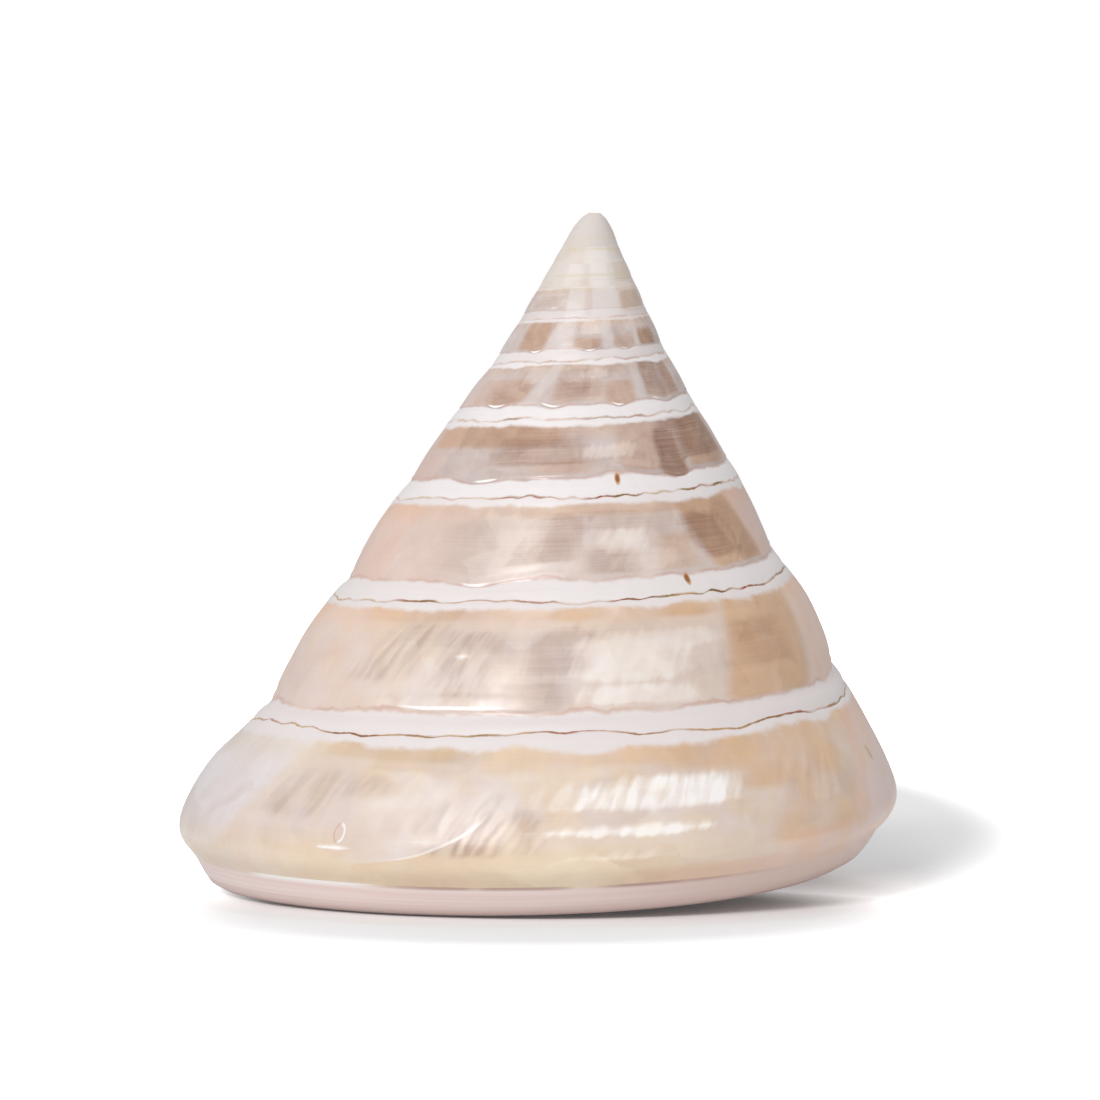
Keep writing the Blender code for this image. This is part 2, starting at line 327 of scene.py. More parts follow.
@dataclass(frozen=True)
class Relief:
    """What the polished surface does on top of the plain outline.  Heights are in slants."""

    growth: Growth = Growth()
    # Rows of the lines that run along a whorl
    white_edge: float = 0.09
    middle: float = 0.45
    glint_line: float = 0.785
    flare_line: float = 0.82
    # How far those lines wander, and how far they sit from there on the front and on the upper whorls
    crack_course: Course = Course(24.0, 0.55, 11, 0.026)
    white_course: Course = Course(13.0, 0.5, 31, 0.014)
    flare_course: Course = Course(15.0, 0.3, 51, 0.012)
    glint_course: Course = Course(17.0, 0.4, 71, 0.012)
    white_shift: tuple[float, float] = (-0.018, 0.020)
    flare_shift: tuple[float, float] = (0.022, -0.075)
    upper_whorls: tuple[float, float] = (-0.4, -3.0)
    flare_hang: float = 0.6         # how much of a lobe the outer line follows
    crack_depth: float = 0.0025
    crack_width: float = 0.006
    crack_open: Course = Course(23.0, 0.6, 91, 0.9)
    band_swell: float = 0.008
    upper_swell: float = 0.003
    lip_swell: float = 0.006
    lip_cut: float = 0.010
    facets: float = 0.0065
    knob_height: float = 0.014
    # Turns between which the grinding left a hollow between two knobs
    windows: Stations = ((-4.921, -4.871), (-4.859, -4.807), (-4.778, -4.724), (-4.668, -4.610),
                         (-3.928, -3.846), (-3.829, -3.777), (-3.777, -3.703), (-3.684, -3.577))
    # Where the line above the white band hangs lower or stands higher: turn, shift in slants, half width
    lobes: tuple[tuple[float, float, float], ...] = (
        (-1.677, 0.065, 0.032), (-1.735, -0.045, 0.030), (-1.870, 0.030, 0.030), (-2.645, 0.070, 0.045),
        (-2.790, -0.085, 0.040), (-2.858, 0.075, 0.026), (-3.623, 0.070, 0.030), (-3.712, 0.070, 0.026),
        (-3.802, 0.075, 0.022), (-3.885, 0.060, 0.030), (-4.645, 0.070, 0.026), (-4.755, 0.065, 0.026),
        (-4.835, 0.065, 0.024))

    def crack_shift(self, turn: np.ndarray) -> np.ndarray:
        """Give how far down its slope the crack wanders, as a length."""
        return self.crack_course.at(turn) * self.growth.slant(turn)

    def shift(self, turn: np.ndarray, row: np.ndarray) -> np.ndarray:
        """Give how far down the slope each place is moved, as a length.

        The lines of a whorl sit lower or higher by whorl, and each wanders.

        Args:
            turn: Turn of each place.
            row: Its row before the move.

        Returns:
            The length of the move, positive downwards.
        """
        slant = self.growth.slant(turn)
        upper = smoothstep(*self.upper_whorls, turn)
        hang = sum(drop * bump(middle - half, middle + half, turn) for middle, drop, half in self.lobes)
        shifts = [front + above * upper for front, above in (self.white_shift, self.flare_shift)]
        white = (shifts[0] + self.white_course.at(turn)) * slant
        flare = (shifts[1] + self.flare_course.at(turn)) * slant
        glint = flare + (self.glint_course.at(turn) + hang) * slant
        flare = flare + self.flare_hang * hang * slant
        lines = (0.0, self.white_edge, self.middle, self.glint_line, self.flare_line, 1.0)
        moves = (self.crack_shift(turn), white, 0.0 * white, glint, flare, self.crack_shift(turn + 1.0))
        body = self.growth.body_share(turn)
        moves = [move * (1.0 - body) if line >= self.middle else move for line, move in zip(lines, moves)]
        total = np.zeros(np.broadcast(turn, row).shape)
        for line, move, before, after in zip(lines, moves, (-1.0, *lines), (*lines[1:], 2.0)):
            hat = np.minimum((row - before) / (line - before), (after - row) / (after - line))
            total = total + np.clip(hat, 0, 1) * move
        return total

    def rise(self, turn: np.ndarray, row: np.ndarray) -> np.ndarray:
        """Give how far each place of a whorl stands out of the plain outline.

        Args:
            turn: Turn of each place.
            row: Its row.

        Returns:
            The height, in slants.
        """
        body = self.growth.body_share(turn)
        groove = np.exp(-(row / self.crack_width) ** 2)
        groove = groove + (1.0 - body) * np.exp(-((1.0 - row) / self.crack_width) ** 2)
        depth = self.crack_depth * np.clip(0.4 + self.crack_open.at(turn), 0.0, 1.3)
        plain = self.growth.flatness(turn)
        band = self.band_swell * plain * bump(self.flare_line, 1.0, row) * (1.0 - body)
        band = band + self.upper_swell * bump(0.0, 0.10, row)
        lip = self.lip_swell * bump(self.glint_line - 0.05, self.glint_line + 0.02, row) * (1.0 - body)
        lip = lip - self.lip_cut * (1.0 - plain) * bump(self.glint_line - 0.02, self.flare_line + 0.02, row)
        windows = np.zeros(np.broadcast(turn, row).shape)
        for low, high in self.windows:
            across = smoothstep(low, low + 0.016, turn) * smoothstep(high, high - 0.016, turn)
            windows = np.maximum(windows, across)
        windows = -self.knob_height * windows * bump(0.02, self.glint_line + 0.03, row)
        swell = np.sqrt(np.clip(np.sin(np.pi * row), 0.0, 1.0))
        flats = ripple(turn * 15.0 + 200.0, row * 2.6, 3) + 0.5 * ripple(turn * 34.0 + 400.0, row * 4.1, 5)
        return band + lip + windows - depth * groove + self.facets * flats * swell


# --- Mesh work -------------------------------------------------------------

def only(item: bpy.types.Object) -> None:
    """Make one object the only one selected and the active one.

    Args:
        item: The object.
    """
    bpy.ops.object.select_all(action="DESELECT")
    item.select_set(True)
    bpy.context.view_layer.objects.active = item


def select_edges(item: bpy.types.Object, test: Callable[[bmesh.types.BMEdge], bool]) -> None:
    """Select the edges that pass a test, and no others.  The object is in edit mode.

    Args:
        item: The object.
        test: What an edge has to pass.
    """
    bpy.ops.mesh.select_mode(type="EDGE")
    bpy.ops.mesh.select_all(action="DESELECT")
    mesh = bmesh.from_edit_mesh(item.data)
    for edge in mesh.edges:
        if test(edge):
            edge.select_set(True)
    bmesh.update_edit_mesh(item.data)


def merge_all(item: bpy.types.Object) -> None:
    """Open an object for editing, with all of it selected and its doubled vertices merged."""
    only(item)
    bpy.ops.object.mode_set(mode="EDIT")
    bpy.ops.mesh.select_all(action="SELECT")
    bpy.ops.mesh.remove_doubles(threshold=MERGE)


def face_outwards() -> None:
    """Turn the faces of the object in edit mode outwards, and close it."""
    bpy.ops.mesh.select_all(action="SELECT")
    bpy.ops.mesh.normals_make_consistent(inside=False)
    bpy.ops.object.mode_set(mode="OBJECT")


def lay_grid(name: str, places: np.ndarray, across: np.ndarray, down: np.ndarray) -> bpy.types.Object:
    """Add a flat grid and lay it over a curved surface.

    Args:
        name: Name of the new object.
        places: Where each crossing goes, by column and row.
        across: The map's first value in each column.
        down: The map's second value in each row.

    Returns:
        The laid grid, with its map.
    """
    columns, rows = places.shape[0] - 1, places.shape[1] - 1
    bpy.ops.object.select_all(action="DESELECT")
    bpy.ops.mesh.primitive_grid_add(x_subdivisions=columns, y_subdivisions=rows, size=1.0)
    item = bpy.context.object
    item.name = name
    layer = item.data.uv_layers[0]
    layer.name = GROWTH_MAP
    corners = (item.data.vertices, "co", 3, 0.5), (layer.uv, "vector", 2, 0.0)
    for points, name, size, middle in corners:
        flat = np.empty(len(points) * size, np.float32)
        points.foreach_get(name, flat)
        flat = flat.reshape(-1, size)
        column = np.rint((flat[:, 0] + middle) * columns).astype(int)
        row = np.rint((flat[:, 1] + middle) * rows).astype(int)
        there = places[column, row] if size == 3 else np.stack((across[column], down[row]), axis=-1)
        points.foreach_set(name, there.astype(np.float32).ravel())
    item.data.update()
    return item


@dataclass
class Shell:
    """The whole shell as one body: spire, last whorl, base, lip and the hollow behind the mouth."""

    growth: Growth = field(default_factory=Growth)
    relief: Relief = field(default_factory=Relief)
    rest: Rest = field(default_factory=Rest)
    columns_per_turn: int = 240
    middle_turn: float = -2.0       # its seam parts the tip from the lip
    crease: float = math.radians(38.0)
    # Rows of a whorl, close together where the crack and the bands need them
    rows: tuple[float, ...] = (0.0, 0.007, 0.018, 0.040, 0.070, 0.090, 0.115, 0.16, 0.22, 0.29, 0.36, 0.43,
                               0.50, 0.57, 0.63, 0.69, 0.74, 0.768, 0.785, 0.802, 0.82, 0.85, 0.89, 0.93,
                               0.965, 0.982, 0.993, 1.0)
    # Rows of the base, as shares of the edge radius
    base_shares: tuple[float, ...] = (1.0, 0.993, 0.984, 0.972, 0.955, 0.93, 0.90, 0.86, 0.81, 0.75,
                                      0.69, 0.62, 0.55, 0.48, 0.41, 0.35, 0.29, 0.24, 0.19, 0.15, 0.11,
                                      0.07, 0.04)
    tip_rise: float = 2.8 * MM
    tip_rings: Stations = ((0.88, 0.76), (0.76, 0.56), (0.62, 0.38), (0.45, 0.20), (0.24, 0.065))
    cap_turn: float = -12.0         # where the finish reads the rounded tip, the lip and the ground face
    lip_row: float = 2.5
    ground_row: float = 2.6
    # The hollow
    wall: float = 3.2 * MM
    septum: float = 1.5 * MM
    tube_turns: float = 2.4
    wall_rows: tuple[float, ...] = (0.12, 0.30, 0.50, 0.70)
    pillar_share: float = 0.27
    floor_reaches: tuple[float, ...] = (0.86, 0.5, 0.12)
    roof_reaches: tuple[float, ...] = (0.10, 0.45, 0.75)
    mouth_turns: float = 0.25
    mouth_widening: float = 0.10
    mouth_drop: float = 14.0 * MM
    mouth_overrun: float = 0.03
    tube_columns: int = 200
    tube_sides: int = 52
    tube_row: float = 3.0
    ground_size: float = 300.0 * MM

    def build(self) -> bpy.types.Object:
        """Build the shell where it rests.

        Returns:
            The finished mesh object.
        """
        shell = self.outside()
        tube = self.tube()
        for item in (shell, tube):
            only(item)
            item.matrix_world = self.rest.matrix()
            bpy.ops.object.transform_apply(location=True, rotation=True, scale=True)
        self.cut(shell, tube)
        self.cut(shell, self.ground())
        only(shell)
        bpy.ops.object.shade_smooth_by_angle(angle=self.crease)
        return shell

    def whorl_grid(self) -> tuple[np.ndarray, np.ndarray]:
        """Work out every whorl's places, where a turn's last row is the next turn's first.

        Returns:
            The places by column and row, and each column's turn.
        """
        growth, relief = self.growth, self.relief
        columns = round((growth.lip_turn - growth.first_turn) * self.columns_per_turn)
        turns = np.linspace(growth.first_turn, growth.lip_turn, columns + 1)
        turn, row = turns[:, None], np.array(self.rows)[None, :]
        point = growth.whorl(turn, row, relief.rise(turn, row))
        chord = growth.seam(turn + 1.0) - growth.seam(turn)
        chord = chord / np.linalg.norm(chord, axis=-1, keepdims=True)
        point = point + chord * relief.shift(turn, row)[..., None]
        places = growth.place(point, turn)
        places[:-self.columns_per_turn, -1] = places[self.columns_per_turn:, 0]
        return places, turns

    def outside(self) -> bpy.types.Object:
        """Build the filled outside as one closed body.

        Returns:
            The mesh object, in the shell's own frame.
        """
        growth = self.growth
        places, turns = self.whorl_grid()
        whorls = lay_grid("top_shell", places, turns, np.array(self.rows))

        last = turns[-self.columns_per_turn - 1:]
        shares = np.array(self.base_shares)
        radius = places[-len(last):, -1, :2]
        radius = np.linalg.norm(radius, axis=-1)[:, None] * shares
        depth = growth.base_depth(last[:, None], radius)
        edge_depth = -places[-len(last):, -1, 2]
        depth += (edge_depth - depth[:, 0])[:, None] * smoothstep(0.8, 1.0, shares)
        base_places = growth.place(np.stack((radius, depth), axis=-1), last[:, None])
        base_places[:, 0] = places[-len(last):, -1]
        hub = np.broadcast_to(np.array((0.0, 0.0, -growth.umbilicus_depth)), (len(last), 1, 3))
        base_places = np.concatenate((base_places, hub), axis=1)
        down = np.append(2.0 - shares, 2.0)
        base = lay_grid("base", base_places, last, down)

        only(whorls)
        base.select_set(True)
        bpy.ops.object.join()
        merge_all(whorls)
        self.close_lip(whorls)
        self.close_tip(whorls)
        face_outwards()
        return whorls

    def close_lip(self, item: bpy.types.Object) -> None:
        """Fill the step between the lip and the base of the turn before.

        Args:
            item: The outside, in edit mode.
        """
        middle = -self.growth.seam(self.middle_turn)[1]
        select_edges(item, lambda edge: edge.is_boundary and edge.verts[0].co.z < middle)
        bpy.ops.mesh.edge_face_add()
        bpy.ops.mesh.select_mode(type="FACE")
        bpy.ops.mesh.quads_convert_to_tris(quad_method="BEAUTY", ngon_method="BEAUTY")
        mesh = bmesh.from_edit_mesh(item.data)
        layer = mesh.loops.layers.uv.active
        for face in mesh.faces:
            if face.select:
                for corner in face.loops:
                    corner[layer].uv = (self.growth.lip_turn, self.lip_row)
        bmesh.update_edit_mesh(item.data)

    def close_tip(self, item: bpy.types.Object) -> None:
        """Round off the tip, ring by ring, from the first turn's rim.

        Args:
            item: The outside, in edit mode.
        """
        middle = -self.growth.seam(self.middle_turn)[1]
        select_edges(item, lambda edge: edge.is_boundary and edge.verts[0].co.z > middle)
        mesh = bmesh.from_edit_mesh(item.data)
        rim = [vertex.co.copy() for vertex in mesh.verts if vertex.select]
        centre = sum(rim, Vector()) / len(rim)
        rim_depth = float(self.growth.seam(self.growth.first_turn)[1])
        top = Vector((centre.x, centre.y, self.tip_rise - rim_depth))
        before = (1.0, 1.0)
        for share, drop in self.tip_rings:
            bpy.ops.mesh.extrude_edges_move()
            mesh = bmesh.from_edit_mesh(item.data)
            for vertex in mesh.verts:
                if vertex.select:
                    vertex.co.xy = top.xy + (vertex.co.xy - top.xy) * (share / before[0])
                    vertex.co.z = top.z + (vertex.co.z - top.z) * (drop / before[1])
            bmesh.update_edit_mesh(item.data)
            before = (share, drop)
        bpy.ops.mesh.extrude_edges_move()
        bpy.ops.mesh.merge(type="CENTER")
        mesh = bmesh.from_edit_mesh(item.data)
        layer = mesh.loops.layers.uv.active
        for vertex in mesh.verts:
            if vertex.select:
                vertex.co = top
        lowest = max(point.z for point in rim)
        for face in mesh.faces:
            if all(corner.vert.co.z > lowest for corner in face.loops):
                for corner in face.loops:
                    corner[layer].uv = (self.cap_turn, 0.5)
        bmesh.update_edit_mesh(item.data)

    def tube_outline(self, turn: float) -> np.ndarray:
        """Give the hollow's outline at a turn.

        Args:
            turn: The turn.

        Returns:
            Radius and depth of each side, from the top of the wall round.
        """
        growth = self.growth
        upper = growth.seam(turn)
        size = min(upper[1] / growth.seam_depth, 1.0)
        thickness, septum = self.wall * size, self.septum * size
        chord = growth.seam(turn + 1.0) - upper
        chord = chord / np.linalg.norm(chord)
        inward = np.array((-chord[1], chord[0])) * thickness
        start = growth.lip_turn - self.mouth_turns
        drop = self.mouth_drop * float(smoothstep(start, start + self.mouth_widening, turn))
        wall = [growth.whorl(turn, row) + inward for row in self.wall_rows]
        wall[0] = wall[0] + chord * thickness * 0.5
        pillar = upper[0] * self.pillar_share
        reach = wall[3][0] - pillar
        radii = [pillar + reach * share for share in self.floor_reaches]
        floor = [np.array((radius, growth.base_depth(turn, radius) - thickness + drop)) for radius in radii]
        radii = [pillar + reach * share for share in self.roof_reaches]
        roof = [np.array((radius, growth.base_depth(turn - 1.0, radius) + septum)) for radius in radii]
        middle = (floor[-1][1] - drop + roof[0][1]) / 2.0
        wall.append(wall[3] + np.array((-thickness * 0.3, thickness * 0.5 + drop)))
        pillars = [np.array((pillar, middle + drop * 0.7)), np.array((pillar, middle))]
        corners = np.array(wall + floor + pillars + roof)
        return self.round_loop(corners, self.tube_sides)

    @staticmethod
    def round_loop(corners: np.ndarray, count: int) -> np.ndarray:
        """Run a smooth closed curve through some corners.

        Args:
            corners: The corners in order.
            count: How many points to read from the curve.

        Returns:
            The points, evenly shared out between the corners.
        """
        place = np.arange(count) * len(corners) / count
        index = np.floor(place).astype(int)
        share = (place - index)[:, None]
        around = [corners[(index + offset) % len(corners)] for offset in (-1, 0, 1, 2)]
        before, start, end, after = around
        return start + 0.5 * share * (end - before + share * (
            2 * before - 5 * start + 4 * end - after + share * (3 * (start - end) + after - before)))

    def tube(self) -> bpy.types.Object:
        """Build the cutter for the hollow that winds in from the mouth.

        Returns:
            The cutter, closed, in the shell's own frame.
        """
        growth = self.growth
        turns = np.linspace(growth.lip_turn - self.tube_turns, growth.lip_turn + self.mouth_overrun,
                            self.tube_columns + 1)
        rings = []
        for turn in turns:
            ring = self.tube_outline(float(turn))
            rings.append(growth.place(np.concatenate((ring, ring[:1])), turn))
        down = self.tube_row + np.linspace(0.0, 1.0, self.tube_sides + 1)
        cutter = lay_grid("hollow", np.array(rings), turns, down)
        merge_all(cutter)
        bpy.ops.mesh.select_all(action="DESELECT")
        bpy.ops.mesh.select_mode(type="EDGE")
        bpy.ops.mesh.select_non_manifold()
        bpy.ops.mesh.edge_face_add()
        face_outwards()
        return cutter

    def ground(self) -> bpy.types.Object:
        """Add the block that levels the bottom where the shell rests.

        Returns:
            The block, with its top at the level of the surface.
        """
        half = self.ground_size / 2.0
        bpy.ops.object.select_all(action="DESELECT")
        bpy.ops.mesh.primitive_cube_add(size=self.ground_size, location=(0.0, 0.0, -half))
        block = bpy.context.object
        block.name = "ground"
        layer = block.data.uv_layers[0]
        layer.name = GROWTH_MAP
        layer.uv.foreach_set("vector", np.tile((0.0, self.ground_row), len(block.data.loops)))
        return block

    @staticmethod
    def cut(item: bpy.types.Object, cutter: bpy.types.Object) -> None:
        """Subtract a cutter and do away with it.

        Args:
            item: What is cut.
            cutter: What cuts it.
        """
        only(item)
        difference = item.modifiers.new(cutter.name, "BOOLEAN")
        difference.operation = "DIFFERENCE"
        difference.solver = "EXACT"
        difference.material_mode = "TRANSFER"
        difference.object = cutter
        bpy.ops.object.modifier_apply(modifier=cutter.name)
        bpy.data.objects.remove(cutter)


# --- Finishes --------------------------------------------------------------

Colour = tuple[float, float, float]


def rgb(red: int, green: int, blue: int) -> Colour:
    """Turn a colour as mixed on a screen, 0 to 255, into the linear one that a shader takes.

    Args:
        red: Red.
        green: Green.
        blue: Blue.

    Returns:
        The linear colour.
    """
    def linear(part: int) -> float:
        """Give one part's linear value."""
        part = part / 255.0
        return part / 12.92 if part <= 0.04045 else ((part + 0.055) / 1.055) ** 2.4

    return linear(red), linear(green), linear(blue)


class Wire:
    """One output socket, or one number, in a shader, with arithmetic."""

    def __init__(self, shader: "Shader", socket: bpy.types.NodeSocket | float) -> None:
        """Wrap a socket or a number."""
        self.shader = shader
        self.socket = socket

    def _math(self, operation: str, *others: "Wire | float") -> "Wire":
        """Add a Math node on this wire and some others."""
        values = [self.socket] + [other.socket if isinstance(other, Wire) else other for other in others]
        return self.shader.node("ShaderNodeMath", {"operation": operation}, dict(enumerate(values)))

    __add__ = __radd__ = partialmethod(_math, "ADD")
    __sub__ = partialmethod(_math, "SUBTRACT")
    __mul__ = __rmul__ = partialmethod(_math, "MULTIPLY")
    __truediv__ = partialmethod(_math, "DIVIDE")
    __pow__ = partialmethod(_math, "POWER")
    __abs__ = partialmethod(_math, "ABSOLUTE")
    larger = partialmethod(_math, "MAXIMUM")
    smaller = partialmethod(_math, "MINIMUM")

    def __rsub__(self, other: float) -> "Wire":
        """Subtract from a number."""
        return Wire(self.shader, other)._math("SUBTRACT", self)

    def step(self, low: float, high: float) -> "Wire":
        """Rise smoothly from 0 at low to 1 at high."""
        settings = {"interpolation_type": "SMOOTHSTEP"}
        sockets = {"Value": self, "From Min": low, "From Max": high, "To Min": 0.0, "To Max": 1.0}
        if low > high:
            sockets.update({"From Min": high, "From Max": low, "To Min": 1.0, "To Max": 0.0})
        return self.shader.node("ShaderNodeMapRange", settings, sockets)


class Shader:
    """A node tree of a material or a world, with short ways to add to it."""

    def __init__(self, name: str, made_in: bpy.types.bpy_prop_collection = bpy.data.materials) -> None:
        """Start an empty material, or a world."""
        self.made = made_in.new(name)
        self.made.use_nodes = True
        self.tree = self.made.node_tree
        self.tree.nodes.clear()

    def node(self, kind: str, settings: dict | None = None, sockets: dict | None = None,
             output: int | str = 0) -> Wire:
        """Add a node.

        Args:
            kind: The node's type.
            settings: Its properties, set first.
            sockets: Values or wires for its inputs, by name or number.
            output: Which output to hand back.

        Returns:
            That output.
        """
        made = self.tree.nodes.new(kind)
        for name, value in (settings or {}).items():
            if name == "stops":
                self._set_stops(made.color_ramp, value)
            else:
                setattr(made, name, value)
        for name, value in (sockets or {}).items():
            value = value.socket if isinstance(value, Wire) else value
            if isinstance(value, bpy.types.NodeSocket):
                self.tree.links.new(value, made.inputs[name])
            else:
                made.inputs[name].default_value = value
        return Wire(self, made.outputs[output] if made.outputs else 0.0)

    @staticmethod
    def _set_stops(ramp: bpy.types.ColorRamp, stops: Iterable[tuple[float, Colour]]) -> None:
        """Set a ramp's stops."""
        stops = list(stops)
        while len(ramp.elements) < len(stops):
            ramp.elements.new(0.5)
        for element, (place, colour) in zip(ramp.elements, stops):
            element.position = place
            element.color = (*colour, 1.0)

    def mix(self, factor: Wire | float, first: Wire | Colour, second: Wire | Colour,
            blend: str = "MIX") -> Wire:
        """Blend two colours.

        Args:
            factor: How much of the second.
            first: The first colour.
            second: The second colour.
            blend: How they blend.

        Returns:
            The blended colour.
        """
        first, second = [(*part, 1.0) if isinstance(part, tuple) else part for part in (first, second)]
        settings = {"data_type": "RGBA", "blend_type": blend, "clamp_factor": True}
        return self.node("ShaderNodeMix", settings, {0: factor, 6: first, 7: second}, 2)

    def noise(self, vector: Wire, scale: float, detail: float = 2.0, distortion: float = 0.0) -> Wire:
        """Add a noise of about 0 to 1, with so many knots in one unit, finer layers and stirring."""
        return self.node("ShaderNodeTexNoise", {"noise_dimensions": "3D"},
                         {"Vector": vector, "Scale": scale, "Detail": detail, "Distortion": distortion})

    def cells(self, vector: Wire, smoothness: float) -> Wire:
        """Add flat facets, about one to a unit, each of one value between -0.5 and 0.5."""
        return self.node("ShaderNodeTexVoronoi", {"feature": "SMOOTH_F1"},
                         {"Vector": vector, "Scale": 1.0, "Smoothness": smoothness}, "Color") - 0.5

    def ramp(self, factor: Wire, stops: Iterable[tuple[float, Colour]]) -> Wire:
        """Turn a number into a colour by way of some stops."""
        return self.node("ShaderNodeValToRGB", {"stops": stops}, {"Fac": factor})

    def vector(self, x: Wire | float, y: Wire | float, z: Wire | float) -> Wire:
        """Join three numbers into a place."""
        return self.node("ShaderNodeCombineXYZ", {}, {"X": x, "Y": y, "Z": z})

    @staticmethod
    def line(value: Wire, middle: float, half: float) -> Wire:
        """Give 1 where a value is at its middle, falling to 0 half a width away."""
        return abs(value - middle).step(half, half * 0.3)

    def attribute(self, name: str) -> Wire:
        """Read a number painted on the mesh."""
        return self.node("ShaderNodeAttribute", {"attribute_type": "GEOMETRY", "attribute_name": name},
                         output="Fac")

    def bump(self, height: Wire, distance: float, strength: float, normal: Wire | None = None) -> Wire:
        """Add a bump.

        Args:
            height: Height, 0 to 1.
            distance: The height's size, in metres.
            strength: How much of it shows.
            normal: Another bump under this one.

        Returns:
            The bumped normal.
        """
        under = {} if normal is None else {"Normal": normal}
        return self.node("ShaderNodeBump", {},
                         {"Height": height, "Distance": distance, "Strength": strength, **under})

    def finish(self, sockets: dict) -> bpy.types.Material:
        """Close the material with a Principled surface.

        Args:
            sockets: Values or wires for the surface's inputs.

        Returns:
            The finished material.
        """
        surface = self.node("ShaderNodeBsdfPrincipled", {}, sockets)
        self.node("ShaderNodeOutputMaterial", {}, {"Surface": surface})
        return self.made


class Tint(Enum):
    """What a patch of the nacre is like.  The value names its layer on the mesh."""

    FILM = "film"
    # Painted highlights: the lamps' soft reflections, painted lighter
    PEARL = "pearl"
    GILT = "gilt"
    # Painted sheen: pinkish reflections out towards the sides
    BLUSH = "blush"
    LILAC = "lilac"
    RIB = "rib"
    THREAD = "thread"
    GAP = "gap"
    # Painted glints
    GLINT = "glint"


@dataclass(frozen=True)
class Patch:
    """One patch on a whorl, between two turns and two rows."""

    turns: tuple[float, float]
    rows: tuple[float, float]
    strength: float = 1.0
    soft: float = 0.008             # turns over which its sides fade
    lean: float = 0.0               # turns that its sides lean over in one row
    fade_top: float = 0.07          # rows over which its top and its bottom fade
    fade_bottom: float = 0.04

    def cover(self, turn: np.ndarray, row: np.ndarray) -> np.ndarray:
        """Give how much of the patch lies on each place, from 0 to 1.

        Args:
            turn: Turn of each place.
            row: Its row.
        """
        turn = turn - self.lean * (row - sum(self.rows) / 2.0)
        (first, last), (top, bottom), soft = self.turns, self.rows, self.soft * 2.0
        across = smoothstep(first - soft, first + soft, turn) * smoothstep(last + soft, last - soft, turn)
        down = smoothstep(top - self.fade_top, top + self.fade_top, row)
        return across * down * smoothstep(bottom + self.fade_bottom, bottom - self.fade_bottom, row)


def laid(*rows: tuple[float, ...]) -> tuple[Patch, ...]:
    """Make patches from rows of first turn, last turn, top row, bottom row and a Patch's other fields."""
    return tuple(Patch(row[:2], row[2:4], *row[4:]) for row in rows)


